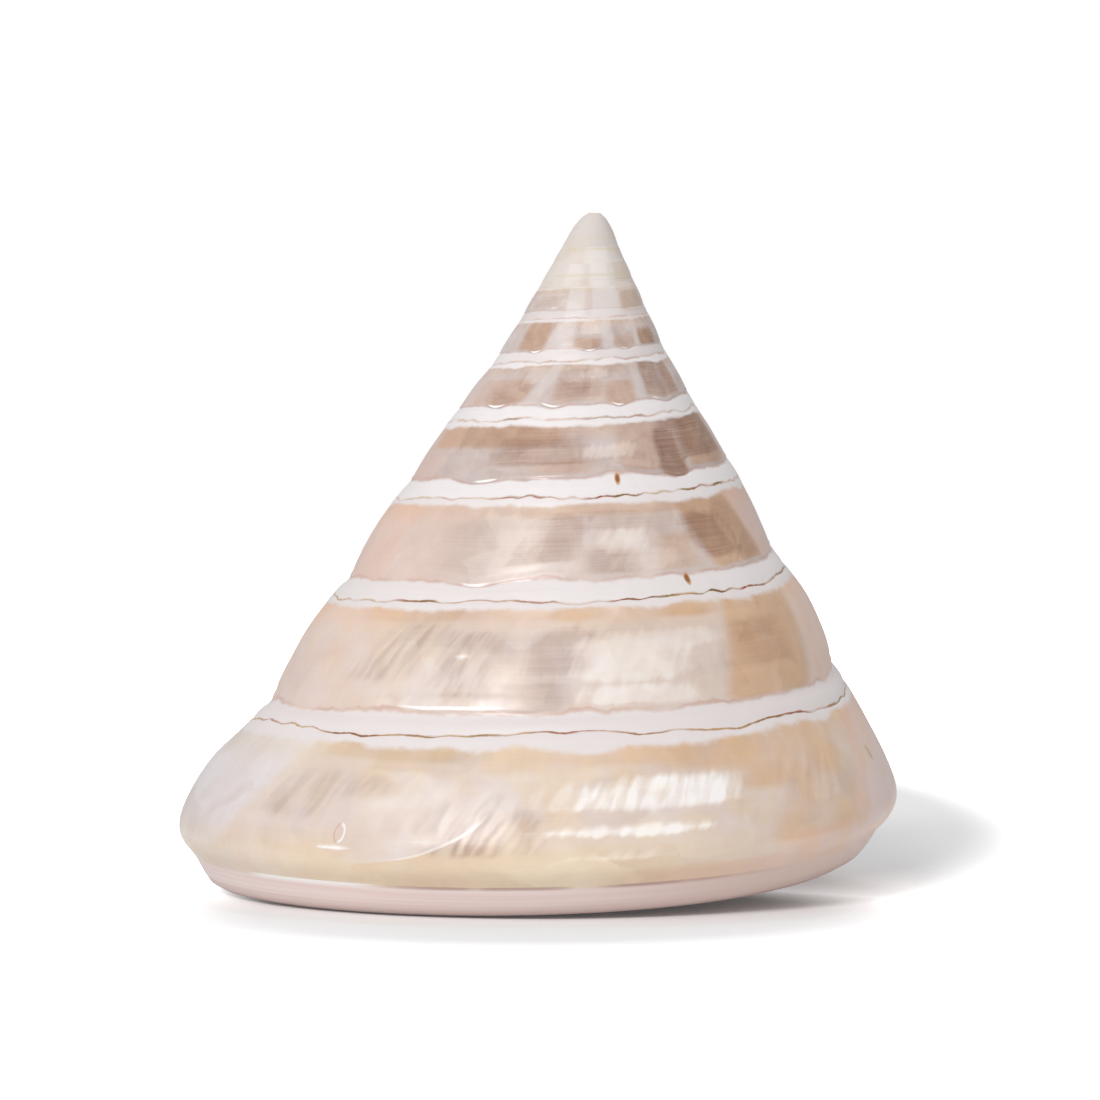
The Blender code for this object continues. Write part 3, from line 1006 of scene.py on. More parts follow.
@dataclass(frozen=True)
class Patches:
    """The patches that make this shell the one it is, and the same again on its far side."""

    growth_lean: float = -0.006     # turns that the growth lines lean over in one row
    stroke_lean: float = 0.034      # and the strokes of the polish
    stroke_stir: float = 0.005      # turns by which those strokes wander
    facet_stir: float = 0.6         # and the facets' edges, in facets
    far_side: float = 0.5
    far_shift: float = 0.017
    # Dull, brown or grey
    film: tuple[Patch, ...] = laid(
        (0.355, 0.392, 0.26, 0.56, 0.5, 0.015, 0.06), (0.325, 0.358, 0.27, 0.4, 0.5, 0.01),
        (0.09, 0.145, 0.22, 0.55, 0.3, 0.025), (0.258, 0.3, 0.42, 0.72, 0.8, 0.01, 0.05),
        (0.27, 0.312, 0.36, 0.6, 0.65, 0.014, 0.05), (0.276, 0.294, 0.44, 0.7, 1.25, 0.007, 0.05),
        (0.155, 0.172, 0.3, 0.6, 0.25, 0.01), (-0.662, -0.622, 0.2, 0.62, 0.55, 0.012, 0.05),
        (-0.748, -0.712, 0.56, 0.8, 1.0, 0.008), (-1.8, -1.756, 0.5, 0.76, 0.6, 0.008),
        (-1.808, -1.756, 0.16, 0.34, 0.5, 0.01), (-0.743, -0.732, 0.24, 0.68, 0.6),
        (-0.76, -0.722, 0.26, 0.56, 1.0, 0.006), (-0.722, -0.668, 0.26, 0.7, 0.6, 0.01),
        (-1.752, -1.712, 0.18, 0.66, 0.95, 0.01, 0.04), (-1.716, -1.64, 0.22, 0.7, 0.36, 0.02),
        (-0.9, -0.85, 0.25, 0.6, 0.6, 0.015), (-0.85, -0.805, 0.34, 0.6, 0.2, 0.01),
        (-0.85, -0.74, 0.2, 0.32, 0.2, 0.02), (-1.74, -1.728, 0.26, 0.5, 0.45),
        (-1.89, -1.848, 0.22, 0.66, 0.95, 0.008, -0.045), (-1.92, -1.89, 0.14, 0.74, 0.3, 0.01, -0.045),
        (-1.84, -1.808, 0.46, 0.72, 0.2), (-2.755, -2.655, 0.3, 0.62, 0.6, 0.02),
        (-2.76, -2.64, 0.02, 0.3, 0.2, 0.015), (-2.96, -2.845, 0.04, 0.62, 0.8, 0.008),
        (-2.872, -2.838, 0.2, 0.8, 1.2, 0.005), (-3.684, -3.64, 0.14, 0.44, 0.2, 0.02),
        (-3.777, -3.706, 0.16, 0.66, 0.35, 0.007), (-3.829, -3.777, 0.06, 0.34, 0.15),
        (-3.928, -3.848, 0.02, 0.72, 0.6, 0.007), (-3.67, -3.577, 0.42, 0.74, 0.12, 0.01),
        (-3.826, -3.783, 0.46, 0.76, 0.15, 0.007), (-4.666, -4.605, 0.26, 0.74, 0.1, 0.008),
        (-4.778, -4.724, 0.56, 0.76, 0.3, 0.006, 0.0, 0.25),
        (-4.859, -4.808, 0.52, 0.76, 0.25, 0.006, 0.0, 0.2),
        (-4.935, -4.873, 0.34, 0.78, 0.6, 0.006, 0.0, 0.2), (-5.68, -5.58, 0.3, 0.66, 0.25, 0.02),
        (-5.95, -5.85, 0.2, 0.8, 0.35, 0.01))
    # Painted highlights: the lamps' soft reflections, painted light and streaked along the growth lines
    pearl: tuple[Patch, ...] = laid(
        (0.17, 0.238, 0.28, 0.47, 0.9, 0.012, 0.03, 0.08, 0.03),
        (0.232, 0.262, 0.3, 0.46, 0.45, 0.012, 0.03), (0.3, 0.33, 0.25, 0.38, 0.2, 0.012, 0.03),
        (0.183, 0.262, 0.55, 0.6, 0.85, 0.015, 0.0, 0.03, 0.03), (0.2, 0.245, 0.7, 0.76, 0.45, 0.015),
        (0.304, 0.34, 0.36, 0.46, 0.15, 0.01, 0.05), (0.3, 0.313, 0.58, 0.65, 0.35, 0.005),
        (-0.705, -0.64, 0.71, 0.77, 0.35, 0.014), (-0.705, -0.662, 0.36, 0.66, 0.15, 0.012),
        (-0.82, -0.752, 0.32, 0.6, 0.55, 0.01, 0.0, 0.04), (-0.82, -0.755, 0.64, 0.76, 0.5),
        (-0.845, -0.76, 0.28, 0.4, 0.35, 0.01), (-1.724, -1.685, 0.3, 0.74, 0.15, 0.006),
        (-1.808, -1.768, 0.34, 0.54, 0.45, 0.008), (-1.83, -1.78, 0.52, 0.74, 0.3, 0.01),
        (-2.822, -2.752, 0.34, 0.54, 0.42, 0.018, 0.03, 0.12, 0.09),
        (-2.83, -2.775, 0.56, 0.72, 0.2, 0.01), (-3.788, -3.75, 0.16, 0.34, 0.35, 0.012, 0.05),
        (-3.684, -3.65, 0.1, 0.4, 0.3, 0.01), (-3.87, -3.85, 0.2, 0.3, 0.3, 0.005),
        (-4.72, -4.68, 0.1, 0.5, 0.35, 0.01), (-4.8, -4.735, 0.08, 0.42, 0.3, 0.01))
    # Golden
    gilt: tuple[Patch, ...] = laid(
        (0.089, 0.16, 0.02, 0.4, 0.65, 0.008, 0.055), (0.285, 0.385, 0.05, 0.17, 0.8, 0.015),
        (0.18, 0.262, 0.05, 0.2, 0.7, 0.02), (0.14, 0.2, 0.05, 0.28, 0.7, 0.02),
        (0.092, 0.15, 0.4, 0.74, 0.4, 0.008, 0.055), (-0.924, -0.85, 0.04, 0.8, 1.0, 0.007, 0.018),
        (-0.85, -0.8, 0.06, 0.2, 1.0, 0.02), (-0.7, -0.6, 0.05, 0.18, 0.6, 0.02),
        (-0.77, -0.725, 0.08, 0.2, 0.8, 0.015), (-1.924, -1.852, 0.06, 0.76, 1.0, 0.006, -0.045),
        (-1.85, -1.69, 0.08, 0.2, 0.6, 0.02), (-1.85, -1.815, 0.4, 0.76, 0.5, 0.01),
        (-2.73, -2.54, 0.06, 0.36, 0.8, 0.012), (-2.76, -2.7, 0.5, 0.74, 0.5, 0.02),
        (-2.845, -2.79, 0.08, 0.74, 0.5, 0.006), (-2.965, -2.88, 0.04, 0.76, 0.9, 0.008),
        (-3.668, -3.56, 0.3, 0.78, 0.6, 0.012), (-3.829, -3.78, 0.38, 0.8, 0.6, 0.007),
        (-3.777, -3.706, 0.36, 0.74, 0.4, 0.01), (-3.928, -3.9, 0.02, 0.76, 0.6, 0.006),
        (-4.668, -4.595, 0.1, 0.78, 0.7, 0.008), (-4.778, -4.724, 0.5, 0.76, 0.6, 0.006),
        (-4.859, -4.807, 0.46, 0.78, 0.4, 0.006, 0.0, 0.16),
        (-4.925, -4.871, 0.34, 0.78, 0.8, 0.006, 0.0, 0.15), (-5.95, -5.85, 0.2, 0.9, 0.8, 0.01),
        (-6.95, -6.85, -0.2, 0.9, 0.7, 0.01))
    # Painted sheen: the pale surroundings reflected even and pinkish at grazing angles, out towards the
    # sides
    blush: tuple[Patch, ...] = laid(
        (-0.04, 0.089, -0.2, 1.2, 1.0, 0.006, 0.055), (-0.04, 0.22, 0.84, 1.3, 1.0, 0.03),
        (-0.04, 0.15, 0.68, 1.3, 1.0, 0.02, 0.0, 0.1), (-1.08, -0.926, -0.2, 1.2, 1.0, 0.006, 0.018),
        (-2.06, -1.926, -0.2, 1.2, 1.0, 0.006, -0.045), (-3.08, -2.968, -0.2, 1.2, 0.7, 0.008),
        (-1.655, -1.49, -0.2, 1.2, 0.5, 0.03), (-0.62, -0.47, -0.2, 1.2, 0.5, 0.03),
        (-2.585, -2.48, -0.2, 1.2, 0.8, 0.015), (-3.575, -3.48, -0.2, 1.2, 0.8, 0.01))
    # Pale lilac
    lilac: tuple[Patch, ...] = laid(
        (0.398, 0.56, -0.2, 0.8, 1.0, 0.006, 0.05), (-0.6, -0.48, 0.1, 0.8, 0.4, 0.03),
        (0.262, 0.292, 0.22, 0.46, 0.5, 0.01, 0.05), (-0.76, -0.742, 0.3, 0.66, 0.6, 0.006),
        (-1.768, -1.744, 0.2, 0.5, 0.5, 0.008), (-2.79, -2.74, 0.3, 0.56, 0.6, 0.008),
        (-3.684, -3.64, 0.1, 0.44, 0.7, 0.012), (-1.895, -1.85, 0.3, 0.66, 0.7, 0.006),
        (-4.8, -4.68, 0.06, 0.44, 0.6, 0.01), (-4.9, -4.84, 0.06, 0.34, 0.6, 0.01))
    # Pale ribs between the hollows of the upper whorls
    rib: tuple[Patch, ...] = laid(
        (-3.702, -3.68, -0.2, 0.86, 0.6, 0.006, 0.05), (-3.848, -3.828, -0.2, 0.86, 0.5, 0.006),
        (-4.72, -4.672, -0.2, 0.9, 0.6, 0.006, 0.03), (-4.806, -4.784, -0.2, 0.9, 0.6, 0.005),
        (-4.873, -4.86, -0.2, 0.86, 0.6, 0.005), (-5.84, -5.76, -0.2, 1.2, 0.8, 0.006),
        (-5.74, -5.69, -0.2, 1.2, 0.7, 0.006), (-6.82, -6.75, -0.2, 1.2, 0.8, 0.01),
        (-6.72, -6.66, -0.2, 1.2, 0.6, 0.01), (-7.84, -7.72, -0.2, 1.2, 0.7, 0.015),
        (-3.6, -3.52, -0.2, 0.9, 0.4, 0.01), (-4.6, -4.52, -0.2, 0.9, 0.4, 0.01))
    # Where the crack is open and dark, below the seam and above it
    gap: tuple[Patch, ...] = laid(
        (0.352, 0.386, -0.2, 0.2, 1.0), (0.318, 0.338, -0.2, 0.2, 0.6), (0.282, 0.3, -0.2, 0.2, 0.7),
        (0.245, 0.264, -0.2, 0.2, 0.8), (0.196, 0.222, -0.2, 0.2, 0.6), (0.096, 0.15, -0.2, 0.2, 0.8),
        (0.04, 0.08, -0.2, 0.2, 0.6), (-0.655, -0.624, -0.2, 0.2, 0.9), (-0.735, -0.715, -0.2, 0.2, 0.7),
        (-0.818, -0.776, -0.2, 0.2, 1.0), (-0.868, -0.846, -0.2, 0.2, 1.2),
        (-0.912, -0.88, -0.2, 0.2, 0.9), (-0.97, -0.94, -0.2, 0.2, 0.7), (-1.722, -1.682, -0.2, 0.2, 0.5),
        (-1.808, -1.758, -0.2, 0.2, 1.0), (-1.882, -1.852, -0.2, 0.2, 0.8),
        (-1.915, -1.897, -0.2, 0.2, 1.0), (-2.668, -2.648, -0.2, 0.2, 0.6),
        (-2.83, -2.745, -0.2, 0.2, 0.4))
    # Thin straw-coloured threads along the seams near the tip
    thread: tuple[Patch, ...] = laid(
        (-7.98, -7.55, 0.06, 0.2, 0.9, 0.03, 0.0, 0.04), (-6.99, -6.6, 0.46, 0.62, 0.9, 0.03, 0.0, 0.04),
        (-5.78, -5.6, 0.07, 0.14, 0.9, 0.02, 0.0, 0.03, 0.03), (-8.9, -8.4, 0.1, 0.3, 0.4, 0.03))
    # Painted glints: bright spots of reflected light
    glint: tuple[Patch, ...] = laid(
        (-1.69, -1.664, 0.765, 0.785, 0.9, 0.006, 0.0, 0.012, 0.012),
        (-2.667, -2.643, 0.762, 0.785, 1.0, 0.005, 0.0, 0.012, 0.012),
        (-3.636, -3.606, 0.755, 0.785, 1.0, 0.006, 0.0, 0.015, 0.015),
        (-3.716, -3.69, 0.758, 0.785, 1.0, 0.006, 0.0, 0.015, 0.015),
        (-3.806, -3.79, 0.755, 0.785, 1.0, 0.005, 0.0, 0.015, 0.015),
        (-3.872, -3.856, 0.745, 0.775, 0.7, 0.005, 0.0, 0.015, 0.015),
        (-4.657, -4.636, 0.75, 0.785, 1.0, 0.006, 0.0, 0.02, 0.015),
        (-4.768, -4.748, 0.75, 0.785, 1.0, 0.006, 0.0, 0.02, 0.015),
        (-4.837, -4.822, 0.75, 0.785, 0.6, 0.005, 0.0, 0.02, 0.015),
        (-5.665, -5.64, 0.69, 0.74, 1.0, 0.008, 0.0, 0.03, 0.02),
        (-0.689, -0.682, 0.42, 0.44, 1.0, 0.005, 0.0, 0.01, 0.01),
        (0.338, 0.36, 0.688, 0.706, 1.0, 0.005, 0.0, 0.012, 0.012),
        (-0.714, -0.655, 0.758, 0.782, 0.9, 0.01, 0.0, 0.012, 0.01))

    def paint(self, item: bpy.types.Object, growth: Growth) -> None:
        """Write every layer to the mesh's corners, and each whorl's slant.

        A layer is a cover, which says where its patches are, and a strength.

        Args:
            item: The shell, with its Growth map.
            growth: Its growth law.
        """
        flat = np.empty(len(item.data.loops) * 2, np.float32)
        item.data.uv_layers[GROWTH_MAP].uv.foreach_get("vector", flat)
        turn, row = flat.reshape(-1, 2).astype(float).T
        for tint in Tint:
            cover, strength = np.zeros(len(turn)), np.zeros(len(turn))
            for patch in getattr(self, tint.value):
                shift = self.far_side + self.far_shift * math.sin(40.0 * patch.turns[0])
                seam = turn + (row > 0.5) if tint is Tint.GAP else turn
                level = np.where(row > 0.5, 1.0 - row, row) if tint is Tint.GAP else row
                for where in (seam, seam + shift):
                    here = patch.cover(where, level)
                    strength = np.where(here * patch.strength > cover * strength, patch.strength, strength)
                    cover = np.maximum(cover, here)
            self.write(item, tint.value, cover)
            self.write(item, tint.value + "_strength", strength)
        self.write(item, "slant", growth.slant(np.clip(turn, growth.first_turn, growth.lip_turn)))

    @staticmethod
    def write(item: bpy.types.Object, name: str, values: np.ndarray) -> None:
        """Write one layer of numbers to the mesh's corners."""
        layer = item.data.attributes.new(name, "FLOAT", "CORNER")
        layer.data.foreach_set("value", values.astype(np.float32))


@dataclass(frozen=True)
class Nacre:
    """The polished outside: white porcelain bands along the seams, and pearl between them."""

    patches: Patches = Patches()
    # The pearl from its dullest to its brightest
    tones: tuple[tuple[float, Colour], ...] = (
        (0.00, rgb(112, 84, 70)), (0.15, rgb(142, 111, 96)), (0.30, rgb(168, 141, 128)),
        (0.42, rgb(191, 167, 155)), (0.55, rgb(211, 192, 181)), (0.66, rgb(224, 206, 195)),
        (0.78, rgb(234, 221, 212)), (0.90, rgb(246, 237, 231)), (1.00, rgb(254, 249, 246)))
    spire_tone: float = 0.52
    body_tone: float = 0.66
    # Noises over the surface: knots in a metre, and finer layers
    cloud: tuple[float, float] = (75.0, 2.0)
    patchy: tuple[float, float] = (210.0, 2.0)
    fine: tuple[float, float] = (900.0, 3.0)
    # Noises on the growth map: knots in a turn and in a row, finer layers, and which one it is
    mottle: tuple[float, ...] = (50.0, 4.2, 3.0, 2.0)
    streak: tuple[float, ...] = (190.0, 3.0, 2.0, 0.0)
    strokes: tuple[float, ...] = (170.0, 3.2, 1.5, 4.0)
    spiral: tuple[float, ...] = (9.0, 55.0, 3.0, 8.0)
    run: tuple[float, ...] = (27.0, 0.0, 2.0, 0.0)
    lines: tuple[float, ...] = (5.0, 160.0, 2.0, 3.0)
    stirring: float = 0.5
    # Facets: how many in a turn and in a row, how soft their edges are, and which ones they are
    facets: tuple[float, ...] = (24.0, 3.0, 0.12, 0.0)
    chips: tuple[float, ...] = (62.0, 7.0, 0.25, 5.0)
    # The surface and its relief, each part by its height and how much of it shows
    roughness: float = 0.40
    roughness_spread: float = 0.08
    tip_roughness: float = 0.3
    index: float = 1.5
    coat: float = 0.22
    coat_loss_on_bands: float = 0.16
    coat_roughness: float = 0.20
    dents: tuple[float, float] = (0.10 * MM, 0.5)
    facet_edges: tuple[float, float] = (0.05 * MM, 0.6)
    scratches: tuple[float, float] = (0.02 * MM, 0.4)
    # What a colour is multiplied by where the pearl is golden or lilac, and where a pinkish sheen is
    # painted out towards the sides
    gold: Colour = (1.04, 0.845, 0.62)
    straw: Colour = (1.02, 0.95, 0.77)
    blush: Colour = (1.015, 0.88, 0.825)
    lilac: Colour = (0.98, 1.04, 1.15)
    white: Colour = rgb(233, 225, 224)
    upper_white: Colour = rgb(240, 234, 234)
    cream: Colour = rgb(224, 215, 208)
    tan: Colour = rgb(212, 194, 176)
    # cap: painted a little darker than the cream, to tone down the light on the rounded top
    cap: Colour = rgb(216, 207, 201)
    thread: Colour = rgb(212, 204, 174)
    # bright: white of the painted highlights and glints, and of the pale ribs at the tip
    bright: Colour = rgb(255, 252, 250)
    rib: Colour = rgb(222, 212, 209)
    crack: Colour = rgb(192, 152, 98)
    crack_red: Colour = rgb(180, 114, 84)
    crack_dark: Colour = rgb(124, 104, 50)
    crack_brown: Colour = rgb(152, 72, 38)
    stain: Colour = rgb(206, 182, 140)
    # rim: warm line of painted shade above the lower bands, partly the nacre layer's edge, and the ring's
    # shaded half
    rim: Colour = rgb(208, 172, 160)
    inner: Colour = rgb(226, 214, 206)
    # base and base_line: painted light, to offset the shade that falls under the shell
    base: Colour = rgb(242, 226, 221)
    base_shade: Colour = rgb(226, 200, 192)
    base_line: Colour = rgb(234, 210, 205)
    base_side: Colour = rgb(230, 206, 194)
    ridge_dark: Colour = rgb(176, 140, 136)
    pit: Colour = rgb(150, 96, 58)
    pit_edge: Colour = rgb(206, 164, 122)
    # Ovals, by turn, row, half width in turns and half height in rows
    lobe: tuple[float, ...] = (0.322, 0.50, 0.037, 0.31)
    ring: tuple[float, ...] = (0.347, 0.60, 0.0024, 0.052)
    pits: tuple[tuple[float, ...], ...] = ((-2.7865, 0.86, 0.0030, 0.050), (-1.8355, 0.86, 0.0026, 0.065))
    mark: tuple[float, ...] = (0.057, 0.37, 0.0026, 0.060)

    def material(self) -> bpy.types.Material:
        """Make the finish.

        Returns:
            The material.
        """
        return Pearl(self).build()


class Pearl(Shader):
    """The nacre's node tree."""

    def __init__(self, look: Nacre) -> None:
        """Read the maps, and make the patterns that every part of the finish shares.

        Args:
            look: The finish's colours, patterns and patches.
        """
        super().__init__("nacre")
        self.look = look
        growth = self.node("ShaderNodeUVMap", {"uv_map": GROWTH_MAP})
        self.turn, self.row = turn, row = [self.node("ShaderNodeSeparateXYZ", {}, {0: growth}, axis)
                                           for axis in "XY"]
        self.cover = {tint: self.attribute(tint.value) for tint in Tint}
        self.strength = {tint: self.attribute(tint.value + "_strength") for tint in Tint}

        # Over the surface, then along the growth lines, along the spiral, and in facets
        place = self.node("ShaderNodeTexCoord", output="Object")
        self.cloud, self.patchy, self.fine = [self.noise(place, scale, detail)
                                              for scale, detail in (look.cloud, look.patchy, look.fine)]
        across = turn - row * look.patches.growth_lean
        self.mottle = self.grain(across, look.mottle, look.stirring)
        self.streak = self.grain(across, look.streak)
        slanted = turn - row * look.patches.stroke_lean + (self.mottle - 0.5) * look.patches.stroke_stir
        self.strokes = self.grain(slanted, look.strokes)
        self.spiral = self.grain(turn, look.spiral)
        self.run = self.grain(turn, look.run)
        stirred = (self.mottle - 0.5) * look.patches.facet_stir
        along, down, softness, seed = look.facets
        place = self.vector(across * along + stirred, row * down + stirred, seed)
        self.facet = self.cells(place, softness)
        along, down, softness, seed = look.chips
        self.chip = self.cells(self.vector(across * along + stirred, row * down, seed), softness)

        # Which part of the shell this is
        self.on_base = row.step(1.0, 1.006)
        self.last_whorl = turn.step(-0.19, -0.15) * (1.0 - self.on_base)
        self.upper = turn.step(-1.0, -2.8)
        self.topmost = turn.step(-4.3, -4.9)
        self.at_tip = turn.step(-5.3, -6.4)

    def grain(self, turn: Wire, look: tuple[float, ...], stirring: float = 0.0) -> Wire:
        """Add a noise on the growth map.

        Args:
            turn: Turn, or turn and lean, of each place.
            look: Knots in a turn and in a row, finer layers, and which noise it is.
            stirring: How much it is stirred.

        Returns:
            The noise, about 0 to 1.
        """
        along, down, detail, seed = look
        return self.noise(self.vector(turn * along, self.row * down, seed), 1.0, detail, stirring)

    def area(self, tint: Tint, ragged: Wire | float = 0.0) -> Wire:
        """Give how much of a layer lies on each place, where something makes its edge ragged."""
        return (self.cover[tint] + ragged).step(0.14, 0.86) * self.strength[tint]

    def oval(self, shape: tuple[float, ...], lean: float = 0.0) -> Wire:
        """Give the distance from an oval's middle, where 1 is its edge.

        Args:
            shape: Its turn, row, half width in turns and half height in rows.
            lean: Turns that it leans over in one row.
        """
        turn, row, half_turn, half_row = shape
        down = self.row - row
        across = (self.turn - turn - down * lean) / half_turn
        return (across * across + (down / half_row) ** 2.0) ** 0.5

    def build(self) -> bpy.types.Material:
        """Put the finish together.

        Returns:
            The material.
        """
        colour, height = self.pearl()
        colour, banded = self.bands(colour)
        colour = self.marks(self.crack(self.base(colour)))
        look = self.look
        normal = self.bump(self.patchy, *look.dents)
        normal = self.bump(height, *look.facet_edges, normal)
        normal = self.bump(0.5 * self.spiral + 0.5 * self.fine, *look.scratches, normal)
        rough = look.roughness + look.roughness_spread * (self.fine - 0.5)
        rough = rough + look.tip_roughness * self.at_tip
        coat = (look.coat - look.coat_loss_on_bands * banded) * (1.0 - self.at_tip)
        return self.finish({"Base Color": colour, "Roughness": rough, "IOR": look.index,
                            "Coat Weight": coat, "Coat Roughness": look.coat_roughness,
                            "Coat IOR": look.index, "Normal": normal})

    def pearl(self) -> tuple[Wire, Wire]:
        """Colour the pearl, with its painted highlights, its painted sheen at the sides and a painted glint
        along the lobe's edge.

        Returns:
            The colour, and the height of its facets.
        """
        look, upper = self.look, self.upper
        mottle, strokes = self.mottle - 0.5, self.strokes - 0.5
        film = self.area(Tint.FILM, (self.streak - 0.5) * 0.6 + mottle * 0.6)
        # Painted highlight: the lamps' soft reflections painted lighter, frayed by the polish's strokes
        painted_highlight = self.cover[Tint.PEARL] + strokes * 0.8 + mottle * 0.5
        painted_highlight = painted_highlight.step(0.26, 0.78) * self.strength[Tint.PEARL]
        gilt = self.area(Tint.GILT, mottle * 0.2)
        lobe = self.oval(look.lobe, 0.07) + mottle * 0.10
        inside = lobe.step(1.01, 0.97) * self.turn.step(0.362, 0.322) * self.row.step(0.26, 0.44)

        tone = look.body_tone - upper * (look.body_tone - look.spire_tone)
        calm = 1.0 - 0.6 * self.area(Tint.BLUSH)
        uneven = mottle * 0.15 + (self.cloud - 0.5) * 0.18 + self.facet * 0.12 + self.chip * 0.06
        tone = tone + uneven * calm
        brush = (self.strokes.step(0.34, 0.60) - 0.6) * 0.18 + self.chip * 0.12
        brush = brush * (0.2 + 0.8 * self.turn.step(-0.95, -0.15))
        dashed = self.turn.step(-0.72, -0.69)
        smooth = 0.5 + (self.spiral - 0.5) * (0.35 + 0.65 * upper)
        scratch = smooth * (1.0 - dashed) + self.strokes.step(0.34, 0.66) * dashed
        tone = tone + (self.streak - 0.5) * 0.06 - film * (0.04 + 0.26 * scratch + 0.06 * upper)
        tone = tone + painted_highlight * (0.33 + brush) - gilt * 0.09 + inside * 0.05
        tone = tone - (self.spiral - 0.5) * (0.05 + 0.10 * film * upper)
        # Painted light: the last whorl's lowest rows lighter, to offset the shade they fall in
        tone = tone + self.row.step(0.70, 0.86) * self.last_whorl * 0.085
        # The painted sheen and the lilac patches a little lighter, as painted light against the shade out
        # at the sides
        tone = tone + self.area(Tint.BLUSH) * 0.05 + self.area(Tint.LILAC) * 0.03
        colour = self.ramp(tone, look.tones)

        edge = (self.row + (self.patchy - 0.5) * 0.16).step(0.34, 0.08) * (0.10 + 0.8 * self.cloud)
        lowest = (self.row + (self.fine - 0.5) * 0.02).step(0.52, 0.76) * self.last_whorl
        lowest = lowest * self.turn.step(0.10, 0.24) * (1.0 - 0.5 * self.turn.step(0.34, 0.41))
        golden = gilt.larger(edge).larger(film * upper * 0.5)
        dye = self.mix(self.turn.step(0.20, 0.30), look.gold, look.straw)
        colour = self.mix(golden * (1.0 - 0.7 * painted_highlight), colour, dye, "MULTIPLY")
        greenish = self.patchy.step(0.42, 0.66) * self.turn.step(-1.1, -0.2)
        greenish = greenish * self.turn.step(0.40, 0.32) * 0.7
        straw = lowest.larger(greenish) * (1.0 - inside) * (1.0 - 0.8 * painted_highlight)
        colour = self.mix(straw, colour, look.straw, "MULTIPLY")
        # Painted sheen: pinkish out towards the sides
        colour = self.mix(self.area(Tint.BLUSH), colour, look.blush, "MULTIPLY")
        pale = self.cloud.step(0.60, 0.44) * self.patchy.step(0.5, 0.3) * 0.4 * calm + 0.65 * upper
        lilac = self.area(Tint.LILAC, mottle * 0.4).larger(pale)
        colour = self.mix(lilac * (1.0 - 0.8 * painted_highlight), colour, look.lilac, "MULTIPLY")
        colour = self.mix(self.area(Tint.RIB, (self.spiral - 0.5) * 0.3) * 0.8, colour, look.rib)
        # Painted glint along the lower right part of the lobe's edge
        lobe_edge_glint = self.line(lobe, 1.0, 0.05) * self.turn.step(0.330, 0.312) * self.row.step(0.44, 0.56)
        colour = self.mix(lobe_edge_glint * 0.45, colour, look.bright)
        return colour, self.facet + 0.5 * self.strokes * painted_highlight

    def bands(self, colour: Wire) -> tuple[Wire, Wire]:
        """Lay the white bands over the pearl, with a warm line of painted shade, partly the nacre's edge,
        along the upper edge of each, and the painted glints.

        Args:
            colour: The pearl.

        Returns:
            The colour, and how much of it is white band.
        """
        look = self.look
        gilded = self.area(Tint.GILT)
        side = (1.0 - self.last_whorl) * (1.0 - self.on_base)
        frayed = self.row + (self.patchy - 0.5) * 0.11 + (self.run - 0.5) * 0.06 + (self.fine - 0.5) * 0.04
        # Painted shade at the step above each lower band, partly the brown edge where the nacre layer ends
        rim = self.line(frayed, 0.800, 0.024) * side
        colour = self.mix(rim * self.run.step(0.35, 0.6) * (0.7 - 0.5 * self.topmost), colour, look.rim)
        ribs = self.area(Tint.RIB, (self.spiral - 0.5) * 0.4) * 0.3
        tip = self.mix((self.patchy.step(0.40, 0.62) * 0.5).larger(gilded * 0.7), look.cream, look.tan)
        colour = self.mix(self.at_tip * 0.9, colour, self.mix(ribs, tip, look.bright))
        # The rounded tip painted a little darker, to tone down the light on its top
        colour = self.mix(self.turn.step(-8.0, -9.0), colour, look.cap)
        narrow = self.last_whorl * self.turn.step(0.20, 0.12) * 0.03
        banded = (frayed + narrow).step(0.118, 0.066).larger(frayed.step(0.796, 0.834) * side)
        banded = banded * (1.0 - self.at_tip) * (1.0 - 0.35 * self.topmost)
        white = self.mix(self.upper, look.white, look.upper_white)
        white = self.mix((self.spiral - 0.3) * 0.5 + (self.mottle - 0.5) * 0.4, white, look.rib)
        colour = self.mix(banded, colour, white)
        thread = self.area(Tint.THREAD, (self.mottle - 0.5) * 0.3) * 0.5
        colour = self.mix(thread, colour, look.thread)
        # Painted glints: bright spots of reflected light
        shining = (self.cover[Tint.GLINT] + (self.fine - 0.5) * 0.3).step(0.30, 0.65)
        return self.mix(shining * self.strength[Tint.GLINT], colour, look.bright), banded

    def base(self, colour: Wire) -> Wire:
        """Colour the base, and the ridge between it and the side, with a painted glint along part of the
        ridge.

        Args:
            colour: The colour above it.

        Returns:
            The colour with the base.
        """
        look = self.look
        grown = self.grain(self.turn, look.lines)
        pale = self.mix(grown.step(0.35, 0.7), look.base, look.base_line)
        pale = self.mix((self.turn + grown * 0.04).step(0.30, 0.12), pale, look.base_side)
        colour = self.mix(self.on_base, colour, pale)
        colour = self.mix(self.row.step(1.026, 1.050) * 0.8, colour, look.base_shade)
        ridge = self.turn + (self.mottle - 0.5) * 0.02
        dark = self.line(self.row, 0.999, 0.008) * ridge.step(0.34, 0.30) * self.run.step(0.35, 0.5)
        dark = dark * ridge.step(0.12, 0.22)
        colour = self.mix(dark * 0.7, colour, look.ridge_dark)
        # Painted glint along the ridge, towards the left
        light = self.line(self.row, 0.996, 0.012) * ridge.step(0.32, 0.35) * ridge.step(0.41, 0.395)
        colour = self.mix(light, colour, look.bright)
        return self.mix(self.row.step(2.90, 2.95), colour, look.inner)

